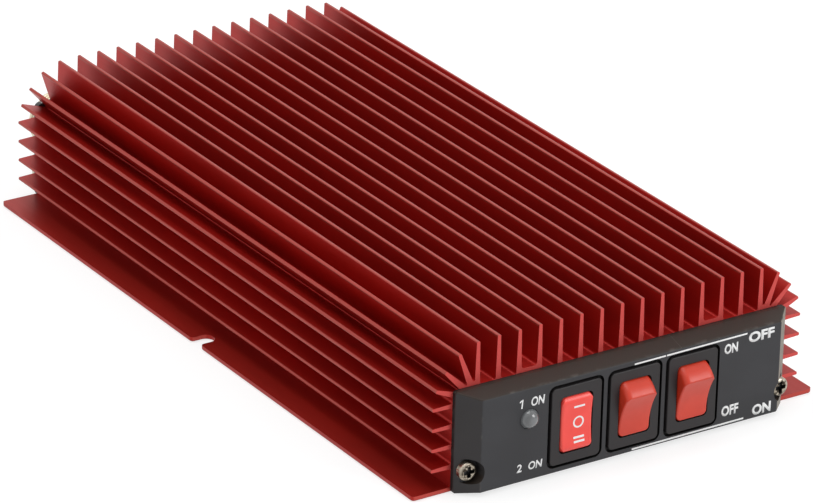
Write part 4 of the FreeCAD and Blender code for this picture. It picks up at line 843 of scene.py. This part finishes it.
# %% Words and numbers
def word(name, text, left, right, foot, head, lean, bold):
    """Text as a film of ink that fills left to right and foot to head on the panel's face.

    A point at shares u and v of the flat text's width and height goes to Z = foot + v * (head -
    foot) and X = left + u * (right - left) + lean * (Z - foot).
    """
    curve = bpy.data.curves.new(name, "FONT")
    curve.body, curve.offset, curve.resolution_u = text, bold, 5
    maker = placed(curve)
    bpy.context.view_layer.update()
    flat = bpy.data.meshes.new_from_object(maker.evaluated_get(
        bpy.context.evaluated_depsgraph_get()))
    bpy.data.objects.remove(maker)
    points = np.empty(len(flat.vertices) * 3)
    flat.vertices.foreach_get("co", points)
    points = points.reshape(-1, 3)
    low, high = points.min(0), points.max(0)
    share = (points - low) / np.maximum(high - low, 1e-9)
    rise = foot + share[:, 1] * (head - foot)
    across = left + share[:, 0] * (right - left) + lean * (rise - foot)
    spots = np.stack([across, np.full(len(points), panel_face - film), rise], 1) * MM
    flat.vertices.foreach_set("co", spots.ravel())
    flat.name = name
    flat.materials.append(ink.material)
    made = placed(flat)
    thick = made.modifiers.new("ink_film", "SOLIDIFY")
    thick.thickness, thick.offset = film * MM, -1
    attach(made, "case")


words = (    # name, text, left, right, foot, head, lean, bold
    ("legend_upper_on", "ON", -29.10, -25.45, 20.08, 22.45, 0.09, 0.024),
    ("legend_lower_on", "ON", -29.30, -25.50, 3.72, 5.80, 0.09, 0.024),
    ("legend_lower_number", "2", -32.50, -31.10, 3.74, 5.80, 0.09, 0.024),
    ("legend_power_on", "ON", 26.0, 29.9, 20.08, 22.70, 0.0, 0.038),
    ("legend_power_off", "OFF", 26.0, 30.9, 3.74, 6.44, 0.0, 0.038),
    ("legend_mode_off", "OFF", 33.0, 40.5, 21.44, 24.14, 0.0, 0.042),
    ("legend_mode_on", "ON", 35.1, 40.6, 1.85, 4.60, 0.0, 0.042),
)
for values in words:
    word(*values)
stroke_width = 0.34
strokes = {"legend_upper_number_stem": ((-31.60, 20.12), (-31.40, 22.40)),
           "legend_upper_number_flag": ((-32.20, 21.78), (-31.62, 22.22))}
for name, ends in strokes.items():
    grid_points = ribbon(np.linspace(*ends, 5), stroke_width) + (0, panel_face, 0)
    piece(name, grid_mesh(name, grid_points, (False, True)), ink, "case")
print("words printed:", len(words))

# %% [markdown]
# ## Marks on the three-way rocker
#
# One bar for the upper position, a ring for the middle and two bars for the lower one. They are
# ribbons of the same ink. The rocker's face is hollow, so a ray from the front finds the face
# under each point of a ribbon, and the ribbon is laid there. The marks ride on the rocker, so
# they tip with it.

# %% Rocker marks
low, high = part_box("preamp_rocker")
rocker_x, rocker_z = (low.x + high.x) / 2 / MM, (low.z + high.z) / 2 / MM
three_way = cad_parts["preamp_rocker"]
surface = BVHTree.FromPolygons([three_way.matrix_world @ v.co for v in three_way.data.vertices],
                               [list(face.vertices) for face in three_way.data.polygons])


def laid_on(points, tree, front):
    """Points with the Y of the surface that lies behind them, as seen from Y = front, added."""
    backwards = Vector((0, 1, 0))
    depths = [tree.ray_cast(Vector((x, front, z)) * MM, backwards)[0].y / MM
              for x, _, z in points.reshape(-1, 3)]
    points[..., 1] += np.reshape(depths, points.shape[:-1])
    return points


bar_length, bar_width = 3.0, 0.54
ring_radius, ring_width, ring_shift, ring_rise = 1.3, 0.42, 0.45, 0.2
bars = (("rocker_mark_one", 0.45, 4.35), ("rocker_mark_two_upper", 0.55, -3.65),
        ("rocker_mark_two_lower", 0.65, -4.75))     # name, and place from the rocker's middle

turn = np.linspace(0, 2 * np.pi, 64, endpoint=False)
ring = np.stack([rocker_x + ring_shift + ring_radius * np.cos(turn),
                 rocker_z + ring_rise + ring_radius * np.sin(turn)], 1)
marks = {"rocker_mark_off": ribbon(ring, ring_width, closed=True)}
for name, shift, height in bars:
    bar_x, bar_z = rocker_x + shift, rocker_z + height
    ends = ((bar_x - bar_length / 2, bar_z), (bar_x + bar_length / 2, bar_z))
    marks[name] = ribbon(np.linspace(*ends, 7), bar_width)
for name, grid_points in marks.items():
    closed = name == "rocker_mark_off"
    mesh = grid_mesh(name, laid_on(grid_points, surface, low.y / MM - 1), (closed, True))
    piece(name, mesh, ink, "preamp_rocker")

# %% [markdown]
# ## Threaded socket barrels
#
# The aerial sockets screw onto plugs with a 24-to-the-inch thread. A thread is a surface with
# a simple rule: the radius rises and falls as a wave of the distance along the barrel, and the
# wave moves on by one pitch for each turn. The solid barrel has only a plain cylinder there,
# so a turned profile with that rule takes its place: flange, neck, thread, chamfered end, bore
# and step. Four notches in the end hold the plug.

# %% Points of a threaded barrel
pitch = 25.4 / 24
crest, root, neck = 7.94, 7.36, 7.64            # radii of the thread and behind it
flange, bore, neck_bore = 9.0, 6.35, 5.2        # radii of flange, plug's room and step
flange_depth, thread_start, plug_depth = 2.0, 6.5, 9.0
flange_round, mouth_round = 0.2, 0.25
last_thread, fade = 0.9, 0.4                    # where the thread ends, from the mouth
notch_half_angle, notch_depth = math.radians(8.0), 1.2


def barrel_points(x, z, start, end):
    """Points of a threaded barrel: rows go round the axis, columns along a closed profile.

    Radius = root + rise * (crest - root), where rise is a triangle wave of distance / pitch
    minus turn, with its tips and feet cut flat; it fades out near the barrel's mouth.
    """
    spread = np.linspace(0, 2 * np.pi, 120, endpoint=False)
    middles = math.pi / 4 + np.arange(4) * math.pi / 2
    edges = [way * (notch_half_angle + more) for way in (-1, 1) for more in (0, 0.002)]
    sides = [middle + edge for middle in middles for edge in edges]
    round_axis = np.sort(np.concatenate([spread, np.array(sides) % (2 * np.pi)]))
    thread = np.arange(start + thread_start + 0.1, end - 0.55, pitch / 10)
    shoulder, step = start + flange_depth, end - plug_depth
    before = [(neck_bore, start), (flange - flange_round, start),
              (flange, start + flange_round), (flange, shoulder - flange_round),
              (flange - flange_round, shoulder), (neck, shoulder), (neck, start + thread_start)]
    after = [(root - 0.05, end - 0.35), (root - mouth_round, end), (bore + mouth_round, end),
             (bore, end - mouth_round), (bore, step), (neck_bore, step)]
    radius = np.array([r for r, _ in before] + [root] * len(thread) + [r for r, _ in after])
    along = np.array([y for _, y in before] + list(thread) + [y for _, y in after])
    cut = np.zeros(len(radius))
    faded = np.clip((end - last_thread - thread) / fade, 0, 1)
    cut[len(before):len(before) + len(thread)] = faded
    wave = np.abs(2 * ((along / pitch - round_axis[:, None] / (2 * np.pi)) % 1) - 1)
    rise = np.clip(wave * 1.6 - 0.3, 0, 1)
    radius = radius + rise * cut * (crest - root)
    from_notch = np.abs(round_axis[:, None] % (math.pi / 2) - math.pi / 4)
    notched = from_notch < notch_half_angle + 0.001
    along = np.where(notched, np.minimum(along, end - notch_depth), along)
    return np.stack([x + radius * np.sin(round_axis)[:, None], along,
                     z + radius * np.cos(round_axis)[:, None]], -1)


print("thread depth:", round(crest - root, 2), "mm")

# %% [markdown]
# ## Both barrels in their places
#
# The box round each solid barrel gives its axis and its two ends, so the threaded barrel fills
# exactly the same room.

# %% Both barrels
for side in ("antenna", "radio"):
    low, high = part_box(f"{side}_socket_shell")
    points = barrel_points((low.x + high.x) / 2 / MM, (low.z + high.z) / 2 / MM,
                           low.y / MM, high.y / MM)
    barrel = piece(f"{side}_threaded_barrel",
                   grid_mesh("barrel", points, (True, True)), finishes["socket_nickel"], "case")
    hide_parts(f"{side}_socket_shell")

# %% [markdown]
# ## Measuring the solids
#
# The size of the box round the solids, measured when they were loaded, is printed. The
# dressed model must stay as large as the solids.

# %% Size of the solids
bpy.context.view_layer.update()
size = [round((high - low) / MM, 1) for low, high in zip(*cad_box)]
print("size of the solids in millimetres:", size)
